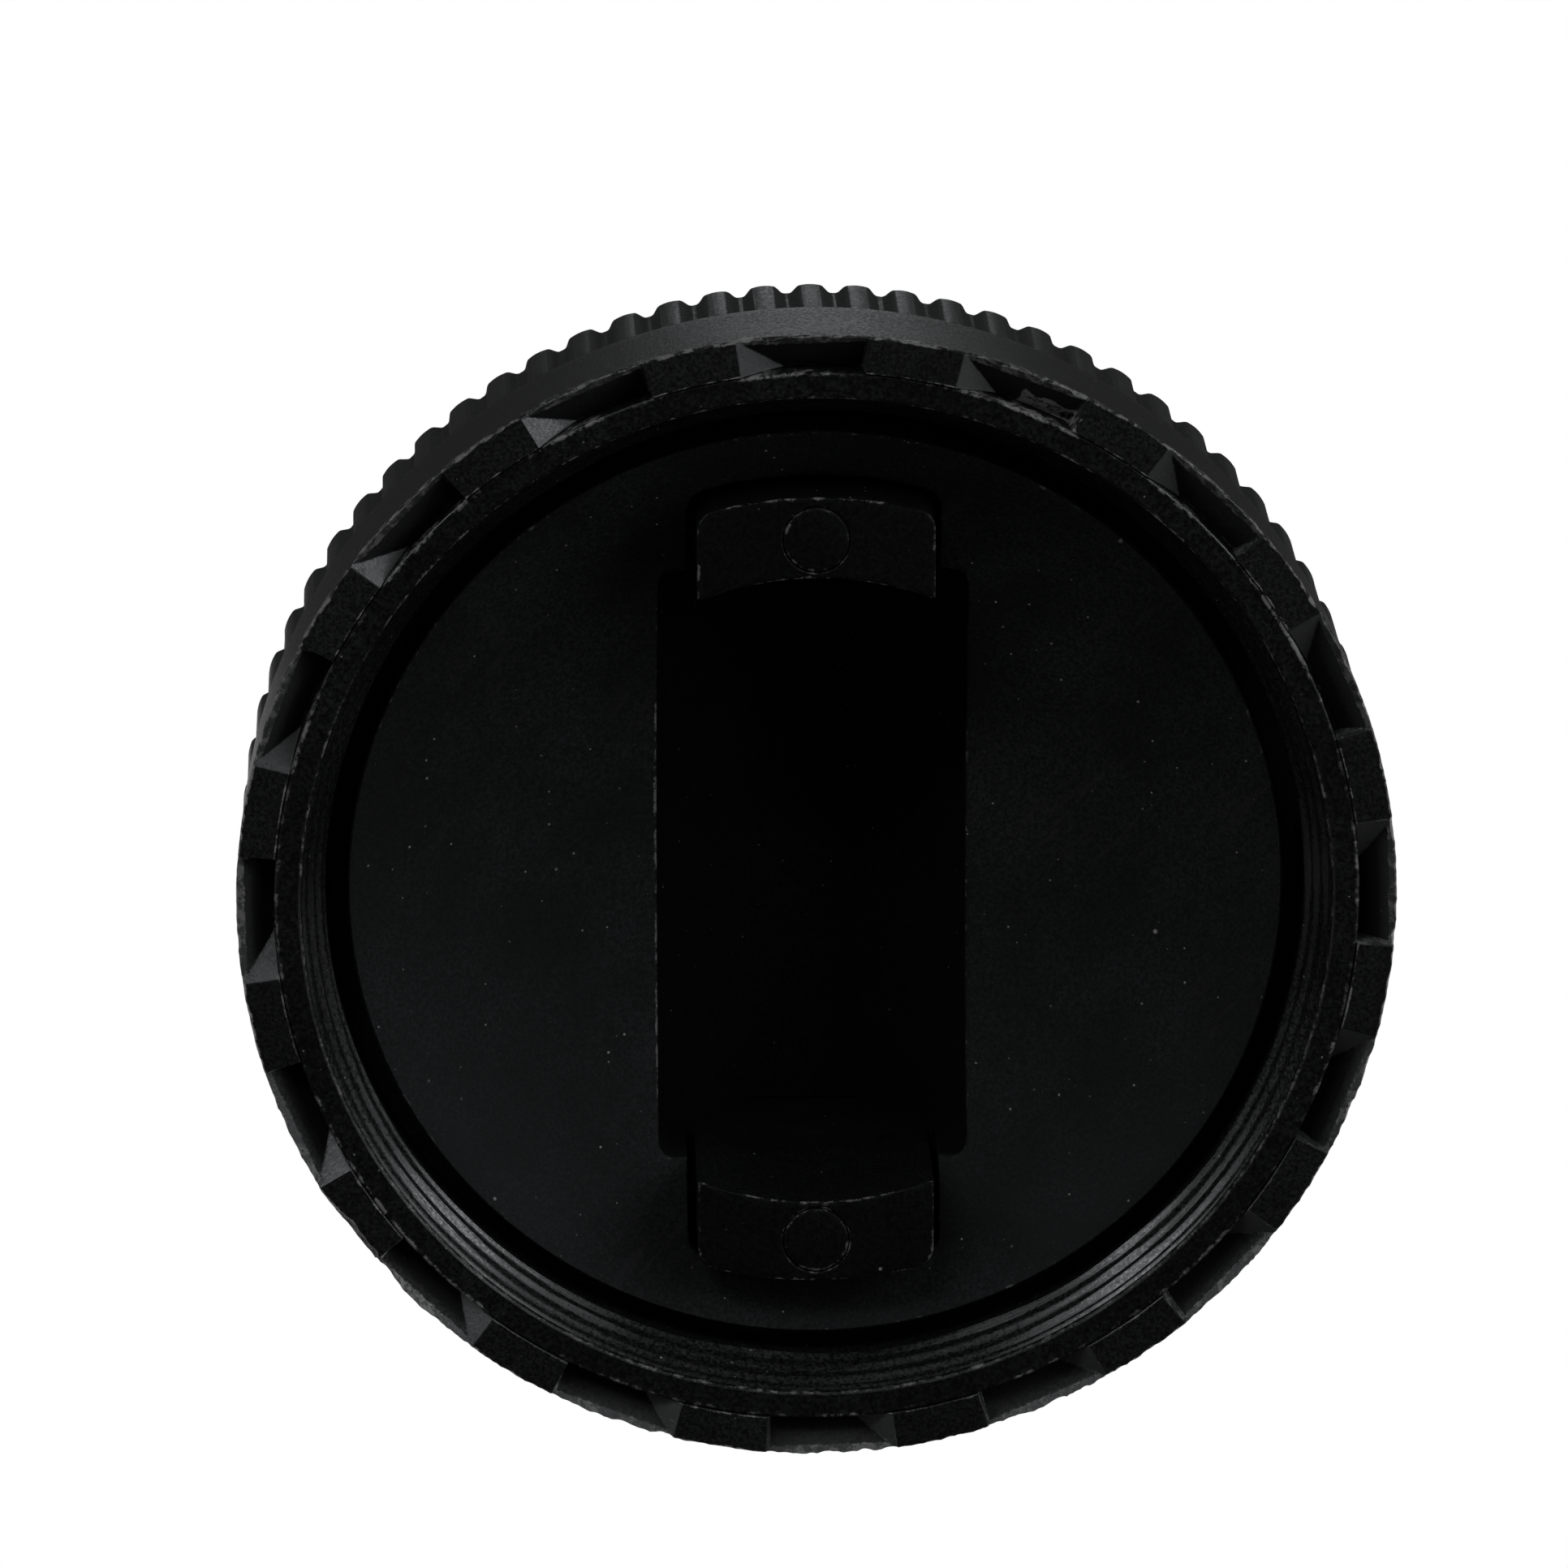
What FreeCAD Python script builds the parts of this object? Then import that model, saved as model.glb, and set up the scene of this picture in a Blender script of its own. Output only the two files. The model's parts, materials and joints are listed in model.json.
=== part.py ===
import FreeCAD, Part
import math
import os

# Panel-mounted rotary battery switch, one STEP file per piece, in millimetres.
# The switch axis is Y, the operating face looks towards -Y and +Z is up.
# The origin is on the axis, at the gasket's rear face, where the switch meets its panel.
# Every station along the axis is a depth behind the rim of the knurled ring.
# Angles run clockwise from +Z, as seen by someone facing the operating face.

V = FreeCAD.Vector
ORIGIN = V(0, 0, 0)
AXIS = V(0, 1, 0)
CUT = 1.0                    # how far a cutting tool runs past the face that it opens

# Driving dimensions
RIM_TO_PANEL = 19.4          # rim of the knurled ring to the panel's front face
RIM_R = 34.95                # knurled ring at its rim
RING_R = 34.7                # knurled ring at the crests of its ribs
PANEL_THICKNESS = 3.0        # panel that the clamp nut is drawn up on
SWITCH_TURN = 90.0           # degrees from ON to OFF
RUNNING_GAP = 0.4            # between the dial and the housing around it

# Knurled ring
RIB_COUNT = 76
RIB_DEPTH = 0.55
RIB_CREST_SHARE = 0.56       # crest's share of the rib pitch
KNURL_FRONT = 8.75
RING_BACK = 15.4
POCKET_COUNT = 16
FIRST_LAND = 5.1
LAND_ANGLE = 9.4
POCKET_ANGLE = 360.0 / POCKET_COUNT - LAND_ANGLE
POCKET_LIP = 0.3             # depth where a pocket's sloping wall leaves the skirt
POCKET_FLOOR = 1.9           # depth where that wall meets the sleeve
RAMP_ANGLE = 4.7             # angle that a pocket's ramp takes along the sleeve

# Threaded sleeve inside the ring
SLEEVE_R = 32.66
SLEEVE_BORE_R = 31.0
SLEEVE_FRONT = 0.15
EDGE = 0.2
LEAD_IN = 0.6                # depth where the bore starts to narrow
CREST_R = 29.6               # crest of the mouth's thread
CREST_FRONT = 3.4
CREST_BACK = 6.8
CREST_GROOVES = 3
GROOVE_DEPTH = 0.15
UNDERCUT_R = 31.4
UNDERCUT_FRONT = 7.4
UNDERCUT_BACK = 9.2
THREAD_R = 30.62             # thread on the housing's neck, drawn as a plain cylinder
THREAD_GAP = 0.08

# Keyed washer between the ring and the flange
WASHER_R = 33.0
WASHER_KEY_WIDTH = 4.0
WASHER_KEY_REACH = 1.0
WASHER_GAP = 0.05

# Housing
NECK_FRONT = 9.45
FLANGE_R = 33.3
FLANGE_FRONT = 16.2
FLANGE_BACK = 18.2
BARREL_R = 26.5
WEB_FRONT = 25.2
WEB_BACK = 28.2
CHAMBER_R = 23.3
BARREL_BACK = 43.2
BOSS_R = 3.0
BOSS_CIRCLE_R = 22.7
BOSS_COUNT = 4
GASKET_R = 32.4
GASKET_BORE_R = 26.8
STOP_HALF_WIDTH = 1.5
STOP_INNER_R = 18.6

# Clamp nut behind the panel
CLAMP_R = 31.0
CLAMP_HEIGHT = 5.0
CLAMP_NOTCHES = 8
CLAMP_NOTCH_WIDTH = 6.0
CLAMP_NOTCH_DEPTH = 2.2

# Dial
DIAL_R = 28.2
DIAL_EDGE = 3.5              # depth of the dial's front edge
DIAL_SKIRT_BACK = 9.0
DISH_DEPTH = 12.6            # depth of the dished face on the axis
DISH_SPHERE_R = 48.2
HUB_R = 26.5
HUB_BACK = 17.2
CORE_R = 22.3
DIAL_BACK = 22.6
SEAL_GROOVE_R = 24.75
SEAL_GROOVE_FRONT = 14.2
SEAL_GROOVE_BACK = 16.2
SEAL_SECTION_R = 0.98
SLOT_HALF_WIDTH = 9.4
SLOT_HALF_LENGTH = 18.5
SLOT_WALL_BACK = 14.4        # depth where the slot's sides start to slope
SLOT_FLOOR = 20.2
SLOT_FLOOR_HALF_WIDTH = 3.1
SLOT_CORNER_R = 1.0
TAB_HALF_WIDTH = 7.66
TAB_R = 25.0
TAB_FLOOR = 13.1

# Shoes that stand in the slot's two end tabs
SHOE_FRONT = 2.0
SHOE_INNER_R = 19.5
SHOE_OUTER_R = 24.5
SHOE_HALF_WIDTH = 7.15
SHOE_CORNER_R = 0.9
SHOE_PIN_R = 2.0
SHOE_PIN_CIRCLE_R = 21.9
SHOE_PIN_BACK = 16.6

# Shaft and what holds it
SHAFT_R = 5.0
SHAFT_FLANGE_R = 18.0
SHAFT_FLANGE_BACK = 24.6
SHAFT_ROUND_BACK = 30.6
SHAFT_BACK = 33.2
SHAFT_SQUARE = 6.8
BUSH_R = 7.0
BUSH_GAP = 0.05
FLANGE_SCREW_X = 14.5
FLANGE_SCREW_Z = 6.0
FLANGE_SCREW_FRONT = 14.6
FLANGE_SCREW_SEAT = 23.3
STOP_PIN_R = 1.5
STOP_PIN_CIRCLE_R = 20.2
STOP_PIN_FRONT = 19.0
STOP_PIN_BACK = 24.9
THRUST_WASHER_R = 9.0
THRUST_WASHER_BACK = 28.9
CIRCLIP_FRONT = 29.0
CIRCLIP_BACK = 30.0
CIRCLIP_R = 6.8
CIRCLIP_GROOVE_R = 4.2
CIRCLIP_OPENING = 4.0

# Contact carrier, bridge and springs
CARRIER_R = 19.2
CARRIER_FRONT = 31.0
CARRIER_BACK = 40.0
CHANNEL_FRONT = 36.0
CHANNEL_WIDTH = 12.3
CARRIER_SCREW_SEAT = 34.4
CARRIER_SCREW_HEAD_R = 3.4
CARRIER_SCREW_HEAD = 1.4
CARRIER_SCREW_R = 1.9
CARRIER_SCREW_FRONT = 26.0
BRIDGE_LENGTH = 34.0
BRIDGE_WIDTH = 12.0
BRIDGE_FRONT = 37.2
BRIDGE_BACK = 40.2
BUTTON_R = 4.0
SPRING_X = 8.0
SPRING_SEAT = 32.4
SPRING_POCKET_R = 3.2
SPRING_R = 2.5
SPRING_WIRE_R = 0.3
SPRING_TURNS = 4

# Terminal base
BASE_FRONT = 41.2
BASE_GASKET_BACK = 44.0
BASE_BACK = 47.0
BASE_PLUG_R = 23.2
STUD_X = 13.0
STUD_R = 4.0
STUD_BOSS_R = 8.2
STUD_BOSS_BACK = 48.6
STUD_BACK = 68.0
STUD_HEAD_R = 5.5
STUD_HEAD_BACK = 44.2
PAD_R = 6.0
PAD_BACK = 42.7
STUD_SEAL_R = 6.0
STUD_SEAL_HEIGHT = 1.0
BARRIER_THICKNESS = 3.0
BARRIER_LENGTH = 40.0
BARRIER_BACK = 56.0
BASE_SCREW_R = 1.5
BASE_SCREW_HEAD_R = 2.8
BASE_SCREW_HEAD = 1.8
BASE_SCREW_LENGTH = 11.0
HEX_FLATS = 13.0
JAM_NUT_HEIGHT = 4.0
WASHER_OUTER_R = 8.0
FLAT_WASHER_HEIGHT = 1.6
LOCK_WASHER_R = 7.0
LOCK_WASHER_HEIGHT = 2.0
LOCK_WASHER_SPLIT = 1.2
TERMINAL_NUT_HEIGHT = 6.5


def at(depth, x=0.0, z=0.0):
    """Point at a depth behind the rim."""
    return V(x, depth - RIM_TO_PANEL, z)


def on_circle(radius, degrees):
    """X and Z of a point on a circle around the axis."""
    turn = math.radians(degrees)
    return radius * math.sin(turn), radius * math.cos(turn)


def disc(radius, front, back, x=0.0, z=0.0):
    return Part.makeCylinder(radius, back - front, at(front, x, z), AXIS)


def tube(outer, inner, front, back, x=0.0, z=0.0):
    return disc(outer, front, back, x, z).cut(disc(inner, front - CUT, back + CUT, x, z))


def block(width, height, front, back, x=0.0, z=0.0):
    """Box of a width along X and a height along Z."""
    return Part.makeBox(width, back - front, height, at(front, x - width / 2, z - height / 2))


def lathe(outline):
    """Solid of revolution from a closed outline of (radius, depth) points."""
    points = [at(depth, radius) for radius, depth in outline]
    face = Part.Face(Part.makePolygon(points + points[:1]))
    return face.revolve(ORIGIN, AXIS, 360)


def turned(shape, degrees):
    """Copy turned about the axis."""
    copy = shape.copy()
    copy.rotate(ORIGIN, AXIS, degrees)
    return copy


def around(shape, count, first=0.0):
    """Copies spread evenly about the axis."""
    return [turned(shape, first + 360.0 * step / count) for step in range(count)]


def behind_plane(point, normal):
    """Block that fills the side of a plane that its normal points away from."""
    size = 8 * POCKET_FLOOR
    filled = Part.makeBox(size, size, size, V(-size / 2, -size / 2, -size))
    filled.Placement = FreeCAD.Placement(point, FreeCAD.Rotation(V(0, 0, 1), normal))
    return filled


def sector(radius, degrees, front, back):
    """Wedge from the axis out to a radius, clockwise from +Z."""
    left = at(front) + V(0, 0, radius)
    right_x, right_z = on_circle(radius, degrees)
    face = Part.Face(Part.makePolygon([at(front), left, at(front, right_x, right_z), at(front)]))
    return face.extrude(V(0, back - front, 0))


def hexagon(front, back, x):
    """Hexagonal prism with flats at top and bottom."""
    corner_r = HEX_FLATS / math.sqrt(3)
    corners = [on_circle(corner_r, 30 + 60 * side) for side in range(6)]
    points = [at(front, x + corner_x, corner_z) for corner_x, corner_z in corners]
    face = Part.Face(Part.makePolygon(points + points[:1]))
    return face.extrude(V(0, back - front, 0))


def both_studs(make):
    """One piece for each of the two terminals, in one shape."""
    return Part.makeCompound([make(-STUD_X), make(STUD_X)])


# Knurled ring and sleeve

def knurl():
    """Ribbed band: flat crests with V grooves between them."""
    pitch = 360.0 / RIB_COUNT
    half_crest = pitch * RIB_CREST_SHARE / 2
    edges = []
    for rib in range(RIB_COUNT):
        centre = rib * pitch
        start, top, end = [at(KNURL_FRONT, *on_circle(RING_R, centre + step))
                           for step in (-half_crest, 0, half_crest)]
        valley = at(KNURL_FRONT, *on_circle(RING_R - RIB_DEPTH, centre + pitch / 2))
        following = at(KNURL_FRONT, *on_circle(RING_R, centre + pitch - half_crest))
        edges.append(Part.Arc(start, top, end).toShape())
        edges.append(Part.makeLine(end, valley))
        edges.append(Part.makeLine(valley, following))
    face = Part.Face(Part.Wire(edges))
    return face.extrude(V(0, RING_BACK - KNURL_FRONT, 0))


def pocket_tool():
    """What one rim pocket removes: a wall that slopes inwards, and a ramp at its start."""
    tool = sector(RIM_R + 2 * CUT, POCKET_ANGLE, -CUT, POCKET_FLOOR + CUT)
    middle = POCKET_ANGLE / 2
    out_x, out_z = on_circle(1.0, middle)
    slope_run = RIM_R - SLEEVE_R
    slope_fall = POCKET_FLOOR - POCKET_LIP
    slope_normal = V(-slope_fall * out_x, -slope_run, -slope_fall * out_z)
    tool = tool.cut(behind_plane(at(POCKET_LIP, *on_circle(RIM_R, middle)), slope_normal))
    ramp_run = SLEEVE_R * math.radians(RAMP_ANGLE)
    ramp_normal = V(POCKET_FLOOR, -ramp_run, 0)
    return tool.cut(behind_plane(at(0, 0, SLEEVE_R), ramp_normal))


def knurled_ring():
    skirt = lathe([(SLEEVE_R, 0), (RIM_R, 0), (RING_R, KNURL_FRONT), (SLEEVE_R, KNURL_FRONT)])
    band = knurl().cut(disc(SLEEVE_R, KNURL_FRONT - CUT, RING_BACK + CUT))
    pockets = around(pocket_tool(), POCKET_COUNT, FIRST_LAND + LAND_ANGLE)
    return skirt.fuse(band).cut(pockets).removeSplitter()


def threaded_sleeve():
    """Sleeve with the mouth's thread in front and the neck's thread behind."""
    groove_pitch = (CREST_BACK - CREST_FRONT) / CREST_GROOVES
    crest = []
    for groove in range(CREST_GROOVES):
        start = CREST_FRONT + groove * groove_pitch
        crest.append((CREST_R, start))
        crest.append((CREST_R, start + groove_pitch - 2 * GROOVE_DEPTH))
        crest.append((CREST_R + GROOVE_DEPTH, start + groove_pitch - GROOVE_DEPTH))
    crest.append((CREST_R, CREST_BACK))
    outline = [(SLEEVE_R, SLEEVE_FRONT + EDGE), (SLEEVE_R - EDGE, SLEEVE_FRONT),
               (SLEEVE_BORE_R + EDGE, SLEEVE_FRONT), (SLEEVE_BORE_R, SLEEVE_FRONT + EDGE),
               (SLEEVE_BORE_R, LEAD_IN)]
    outline += crest
    outline += [(UNDERCUT_R, UNDERCUT_FRONT), (UNDERCUT_R, UNDERCUT_BACK),
                (THREAD_R + THREAD_GAP, UNDERCUT_BACK), (THREAD_R + THREAD_GAP, RING_BACK),
                (SLEEVE_R, RING_BACK)]
    return lathe(outline)


def slip_washer():
    """Thin washer with two keys that keep it from turning on the neck."""
    front = RING_BACK + WASHER_GAP
    back = FLANGE_FRONT - WASHER_GAP
    ring = tube(WASHER_R, THREAD_R + THREAD_GAP, front, back)
    bar = block(2 * WASHER_R - CUT, WASHER_KEY_WIDTH, front, back)
    keys = bar.cut(disc(THREAD_R - WASHER_KEY_REACH, front - CUT, back + CUT))
    return ring.fuse(keys).removeSplitter()


# Housing and what is fixed to it

def housing_stops():
    """Two blocks in the dial's pocket that the stop pin meets at each end of its travel."""
    reach = STOP_PIN_R + STOP_HALF_WIDTH + RUNNING_GAP / 8
    past = SWITCH_TURN / 2 + math.degrees(math.asin(reach / STOP_PIN_CIRCLE_R))
    depth_front = DIAL_BACK + RUNNING_GAP
    rib = block(2 * STOP_HALF_WIDTH, CORE_R - STOP_INNER_R + CUT, depth_front, WEB_FRONT,
                0, (CORE_R + CUT + STOP_INNER_R) / 2)
    return [turned(rib, past), turned(rib, -past)]


def housing_shell():
    """Bezel and barrel together, before they are parted at the back of the flange."""
    outside = lathe([(0, NECK_FRONT), (THREAD_R, NECK_FRONT), (THREAD_R, FLANGE_FRONT),
                     (FLANGE_R, FLANGE_FRONT), (FLANGE_R, FLANGE_BACK), (BARREL_R, FLANGE_BACK),
                     (BARREL_R, BARREL_BACK), (0, BARREL_BACK)])
    inside = [disc(HUB_R + RUNNING_GAP, NECK_FRONT - CUT, HUB_BACK + RUNNING_GAP),
              disc(CORE_R + RUNNING_GAP, HUB_BACK, WEB_FRONT),
              disc(BUSH_R, WEB_FRONT - CUT, WEB_BACK + CUT),
              disc(CHAMBER_R, WEB_BACK, BARREL_BACK + CUT)]
    key_slots = block(2 * WASHER_R, WASHER_KEY_WIDTH + RUNNING_GAP, NECK_FRONT - CUT, FLANGE_FRONT)
    key_slots = key_slots.cut(disc(THREAD_R - WASHER_KEY_REACH - RUNNING_GAP / 2,
                                   NECK_FRONT - 2 * CUT, FLANGE_FRONT + CUT))
    boss = disc(BOSS_R, WEB_BACK, BASE_FRONT, *on_circle(BOSS_CIRCLE_R, 45))
    boss = boss.common(disc(BARREL_R, WEB_BACK, BASE_FRONT))
    hole = disc(BASE_SCREW_R, BASE_BACK - BASE_SCREW_LENGTH, BASE_BACK,
                *on_circle(BOSS_CIRCLE_R, 45))
    shell = outside.cut(inside + [key_slots])
    shell = shell.fuse(around(boss, BOSS_COUNT) + housing_stops())
    return shell.cut(around(hole, BOSS_COUNT)).removeSplitter()


def housing_bezel():
    """Neck and flange, welded on the front of the barrel."""
    return housing_shell().common(disc(FLANGE_R + CUT, 0, FLANGE_BACK)).removeSplitter()


def housing():
    """Barrel behind the bezel, with its bearing web and screw bosses."""
    return housing_shell().cut(disc(FLANGE_R + CUT, 0, FLANGE_BACK)).removeSplitter()


def panel_gasket():
    return tube(GASKET_R, GASKET_BORE_R, FLANGE_BACK, RIM_TO_PANEL)


def clamp_nut():
    """Ring nut with spanner notches, drawn up on the back of the panel."""
    front = RIM_TO_PANEL + PANEL_THICKNESS
    back = front + CLAMP_HEIGHT
    nut = tube(CLAMP_R, BARREL_R, front, back)
    notch = block(CLAMP_NOTCH_WIDTH, 2 * CLAMP_NOTCH_DEPTH, front + CLAMP_NOTCH_DEPTH,
                  back + CUT, 0, CLAMP_R)
    return nut.cut(around(notch, CLAMP_NOTCHES))


def rotor_bush():
    return tube(BUSH_R, SHAFT_R + BUSH_GAP, WEB_FRONT, WEB_BACK)


def friction_washer():
    return tube(SHAFT_FLANGE_R - CUT, BUSH_R + CUT, SHAFT_FLANGE_BACK + BUSH_GAP, WEB_FRONT)


def thrust_washer():
    return tube(THRUST_WASHER_R, SHAFT_R + 2 * BUSH_GAP, WEB_BACK, THRUST_WASHER_BACK)


# Terminal base

def base_plate():
    body = disc(BASE_PLUG_R, BASE_FRONT, BASE_BACK)
    body = body.fuse(disc(BARREL_R, BASE_GASKET_BACK, BASE_BACK))
    barrier = block(BARRIER_THICKNESS, BARRIER_LENGTH, BASE_BACK - CUT, BARRIER_BACK)
    body = body.fuse([barrier, both_studs(lambda x: disc(STUD_BOSS_R, BASE_BACK - CUT,
                                                         STUD_BOSS_BACK, x))])
    hole = disc(BASE_SCREW_R, BASE_FRONT - CUT, BASE_BACK + CUT, *on_circle(BOSS_CIRCLE_R, 45))
    openings = around(hole, BOSS_COUNT)
    for x in (-STUD_X, STUD_X):
        openings.append(disc(PAD_R, BASE_FRONT - CUT, PAD_BACK, x))
        openings.append(disc(STUD_HEAD_R, PAD_BACK - CUT, STUD_HEAD_BACK, x))
        openings.append(disc(STUD_R, PAD_BACK, STUD_BOSS_BACK + CUT, x))
        openings.append(disc(STUD_SEAL_R, STUD_BOSS_BACK - STUD_SEAL_HEIGHT, STUD_BOSS_BACK + CUT, x))
    return body.cut(openings).removeSplitter()


def base_gasket():
    """Flat ring with holes for the base screws."""
    ring = tube(BARREL_R, CHAMBER_R, BARREL_BACK, BASE_GASKET_BACK)
    hole = disc(BASE_SCREW_R + RUNNING_GAP, BARREL_BACK - CUT, BASE_GASKET_BACK + CUT,
                *on_circle(BOSS_CIRCLE_R, 45))
    return ring.cut(around(hole, BOSS_COUNT))


def base_screw(angle):
    """Pan-head screw with a cross recess."""
    x, z = on_circle(BOSS_CIRCLE_R, angle)
    shank = disc(BASE_SCREW_R, BASE_BACK - BASE_SCREW_LENGTH, BASE_BACK, x, z)
    head = disc(BASE_SCREW_HEAD_R, BASE_BACK, BASE_BACK + BASE_SCREW_HEAD, x, z)
    head = head.makeFillet(BASE_SCREW_HEAD / 3, [head.Edges[0]])
    bar = BASE_SCREW_HEAD_R / 4
    recess_front = BASE_BACK + BASE_SCREW_HEAD / 2
    recess_back = BASE_BACK + BASE_SCREW_HEAD + CUT
    cross = [block(bar, BASE_SCREW_HEAD_R, recess_front, recess_back, x, z),
             block(BASE_SCREW_HEAD_R, bar, recess_front, recess_back, x, z)]
    return shank.fuse(head).cut(cross)


def base_screws():
    return Part.makeCompound([base_screw(45 + 360 * step / BOSS_COUNT) for step in range(BOSS_COUNT)])


def stud(x):
    """Terminal stud: a head inside the base and a threaded shank through it."""
    head = disc(STUD_HEAD_R, PAD_BACK, STUD_HEAD_BACK, x)
    shank = disc(STUD_R, PAD_BACK, STUD_BACK, x)
    return head.fuse(shank).removeSplitter()


def contact_pad(x):
    return disc(PAD_R, BASE_FRONT, PAD_BACK, x)


def stud_seal(x):
    return tube(STUD_SEAL_R, STUD_R, STUD_BOSS_BACK - STUD_SEAL_HEIGHT, STUD_BOSS_BACK, x)


def hex_nut(front, height, x):
    """Hexagon nut with both ends chamfered."""
    nut = hexagon(front, front + height, x)
    corner_r = HEX_FLATS / math.sqrt(3)
    slope = (corner_r - HEX_FLATS / 2) / 2
    chamfer = lathe([(0, front), (HEX_FLATS / 2, front), (corner_r, front + slope),
                     (corner_r, front + height - slope), (HEX_FLATS / 2, front + height),
                     (0, front + height)])
    chamfer.translate(V(x, 0, 0))
    return nut.common(chamfer).cut(disc(STUD_R, front - CUT, front + height + CUT, x))


def jam_nut(x):
    return hex_nut(STUD_BOSS_BACK, JAM_NUT_HEIGHT, x)


FLAT_WASHER_FRONT = STUD_BOSS_BACK + JAM_NUT_HEIGHT
LOCK_WASHER_FRONT = FLAT_WASHER_FRONT + FLAT_WASHER_HEIGHT
TERMINAL_NUT_FRONT = LOCK_WASHER_FRONT + LOCK_WASHER_HEIGHT


def flat_washer(x):
    return tube(WASHER_OUTER_R, STUD_R, FLAT_WASHER_FRONT, LOCK_WASHER_FRONT, x)


def lock_washer(x):
    """Split spring washer."""
    ring = tube(LOCK_WASHER_R, STUD_R, LOCK_WASHER_FRONT, TERMINAL_NUT_FRONT, x)
    split = block(LOCK_WASHER_SPLIT, LOCK_WASHER_R + CUT, LOCK_WASHER_FRONT - CUT,
                  TERMINAL_NUT_FRONT + CUT, x, (LOCK_WASHER_R + CUT) / 2)
    return ring.cut(split)


def terminal_nut(x):
    return hex_nut(TERMINAL_NUT_FRONT, TERMINAL_NUT_HEIGHT, x)


# Dial and what turns with it

def slot_tool():
    """Upright slot with sloping sides, and the two end tabs that the shoes stand in."""
    outline = [(-SLOT_HALF_WIDTH, 0), (SLOT_HALF_WIDTH, 0), (SLOT_HALF_WIDTH, SLOT_WALL_BACK),
               (SLOT_FLOOR_HALF_WIDTH, SLOT_FLOOR), (-SLOT_FLOOR_HALF_WIDTH, SLOT_FLOOR),
               (-SLOT_HALF_WIDTH, SLOT_WALL_BACK)]
    points = [at(depth, x, -SLOT_HALF_LENGTH) for x, depth in outline]
    trough = Part.Face(Part.makePolygon(points + points[:1])).extrude(V(0, 0, 2 * SLOT_HALF_LENGTH))
    sides = [edge for edge in trough.Edges if is_slot_corner(edge)]
    trough = trough.makeFillet(SLOT_CORNER_R, sides)
    tabs = block(2 * TAB_HALF_WIDTH, 2 * TAB_R, 0, TAB_FLOOR).common(disc(TAB_R, 0, TAB_FLOOR))
    return trough.fuse(tabs)


def is_slot_corner(edge):
    """True for the four upright corners of the slot, which run along the axis."""
    middle = edge.CenterOfMass
    along_axis = abs(edge.tangentAt(edge.FirstParameter).y) > 0.99
    return along_axis and abs(middle.x) > SLOT_FLOOR_HALF_WIDTH


def dial():
    blank = lathe([(0, 0), (DIAL_R, DIAL_EDGE), (DIAL_R, DIAL_SKIRT_BACK), (HUB_R, DIAL_SKIRT_BACK),
                   (HUB_R, SEAL_GROOVE_FRONT), (SEAL_GROOVE_R, SEAL_GROOVE_FRONT),
                   (SEAL_GROOVE_R, SEAL_GROOVE_BACK), (HUB_R, SEAL_GROOVE_BACK),
                   (HUB_R, HUB_BACK), (CORE_R, HUB_BACK), (CORE_R, DIAL_BACK), (0, DIAL_BACK)])
    dish = Part.makeSphere(DISH_SPHERE_R, at(DISH_DEPTH - DISH_SPHERE_R))
    holes = [disc(SHOE_PIN_R, TAB_FLOOR - CUT, SHOE_PIN_BACK, 0, z) for z in shoe_pin_heights()]
    holes += [disc(BASE_SCREW_R, FLANGE_SCREW_FRONT, DIAL_BACK + CUT, x, z)
              for x, z in flange_screw_places()]
    holes.append(disc(STOP_PIN_R, STOP_PIN_FRONT, DIAL_BACK + CUT, *stop_pin_place()))
    return blank.cut([dish, slot_tool()] + holes).removeSplitter()


def shoe_pin_heights():
    return (-SHOE_PIN_CIRCLE_R, SHOE_PIN_CIRCLE_R)


def flange_screw_places():
    return [(x, z) for x in (-FLANGE_SCREW_X, FLANGE_SCREW_X) for z in (-FLANGE_SCREW_Z, FLANGE_SCREW_Z)]


def stop_pin_place():
    return on_circle(STOP_PIN_CIRCLE_R, SWITCH_TURN / 2)


def shoe(side):
    """Arc-shaped block at the slot's upper (side 1) or lower (side -1) end."""
    arc = tube(SHOE_OUTER_R, SHOE_INNER_R, SHOE_FRONT, TAB_FLOOR)
    arc = arc.common(block(2 * SHOE_HALF_WIDTH, SHOE_OUTER_R, SHOE_FRONT, TAB_FLOOR,
                           0, side * SHOE_OUTER_R / 2))
    outer = [edge for edge in arc.Edges if is_shoe_corner(edge)]
    arc = arc.makeFillet(SHOE_CORNER_R, outer)
    return arc.cut(disc(SHOE_PIN_R, SHOE_FRONT - CUT, TAB_FLOOR + CUT, 0, side * SHOE_PIN_CIRCLE_R))


def is_shoe_corner(edge):
    """True for the two corners on a shoe's outer arc, which run along the axis."""
    middle = edge.CenterOfMass
    along_axis = abs(edge.tangentAt(edge.FirstParameter).y) > 0.99
    return along_axis and math.hypot(middle.x, middle.z) > SHOE_OUTER_R - SHOE_CORNER_R


def shoe_pins():
    return Part.makeCompound([disc(SHOE_PIN_R, SHOE_FRONT, SHOE_PIN_BACK, 0, z)
                              for z in shoe_pin_heights()])


def dial_seal():
    """Round-section ring in the hub's groove."""
    middle = (SEAL_GROOVE_FRONT + SEAL_GROOVE_BACK) / 2
    centre_r = SEAL_GROOVE_R + SEAL_SECTION_R + RUNNING_GAP / 8
    return Part.makeTorus(centre_r, SEAL_SECTION_R, at(middle), AXIS)


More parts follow.
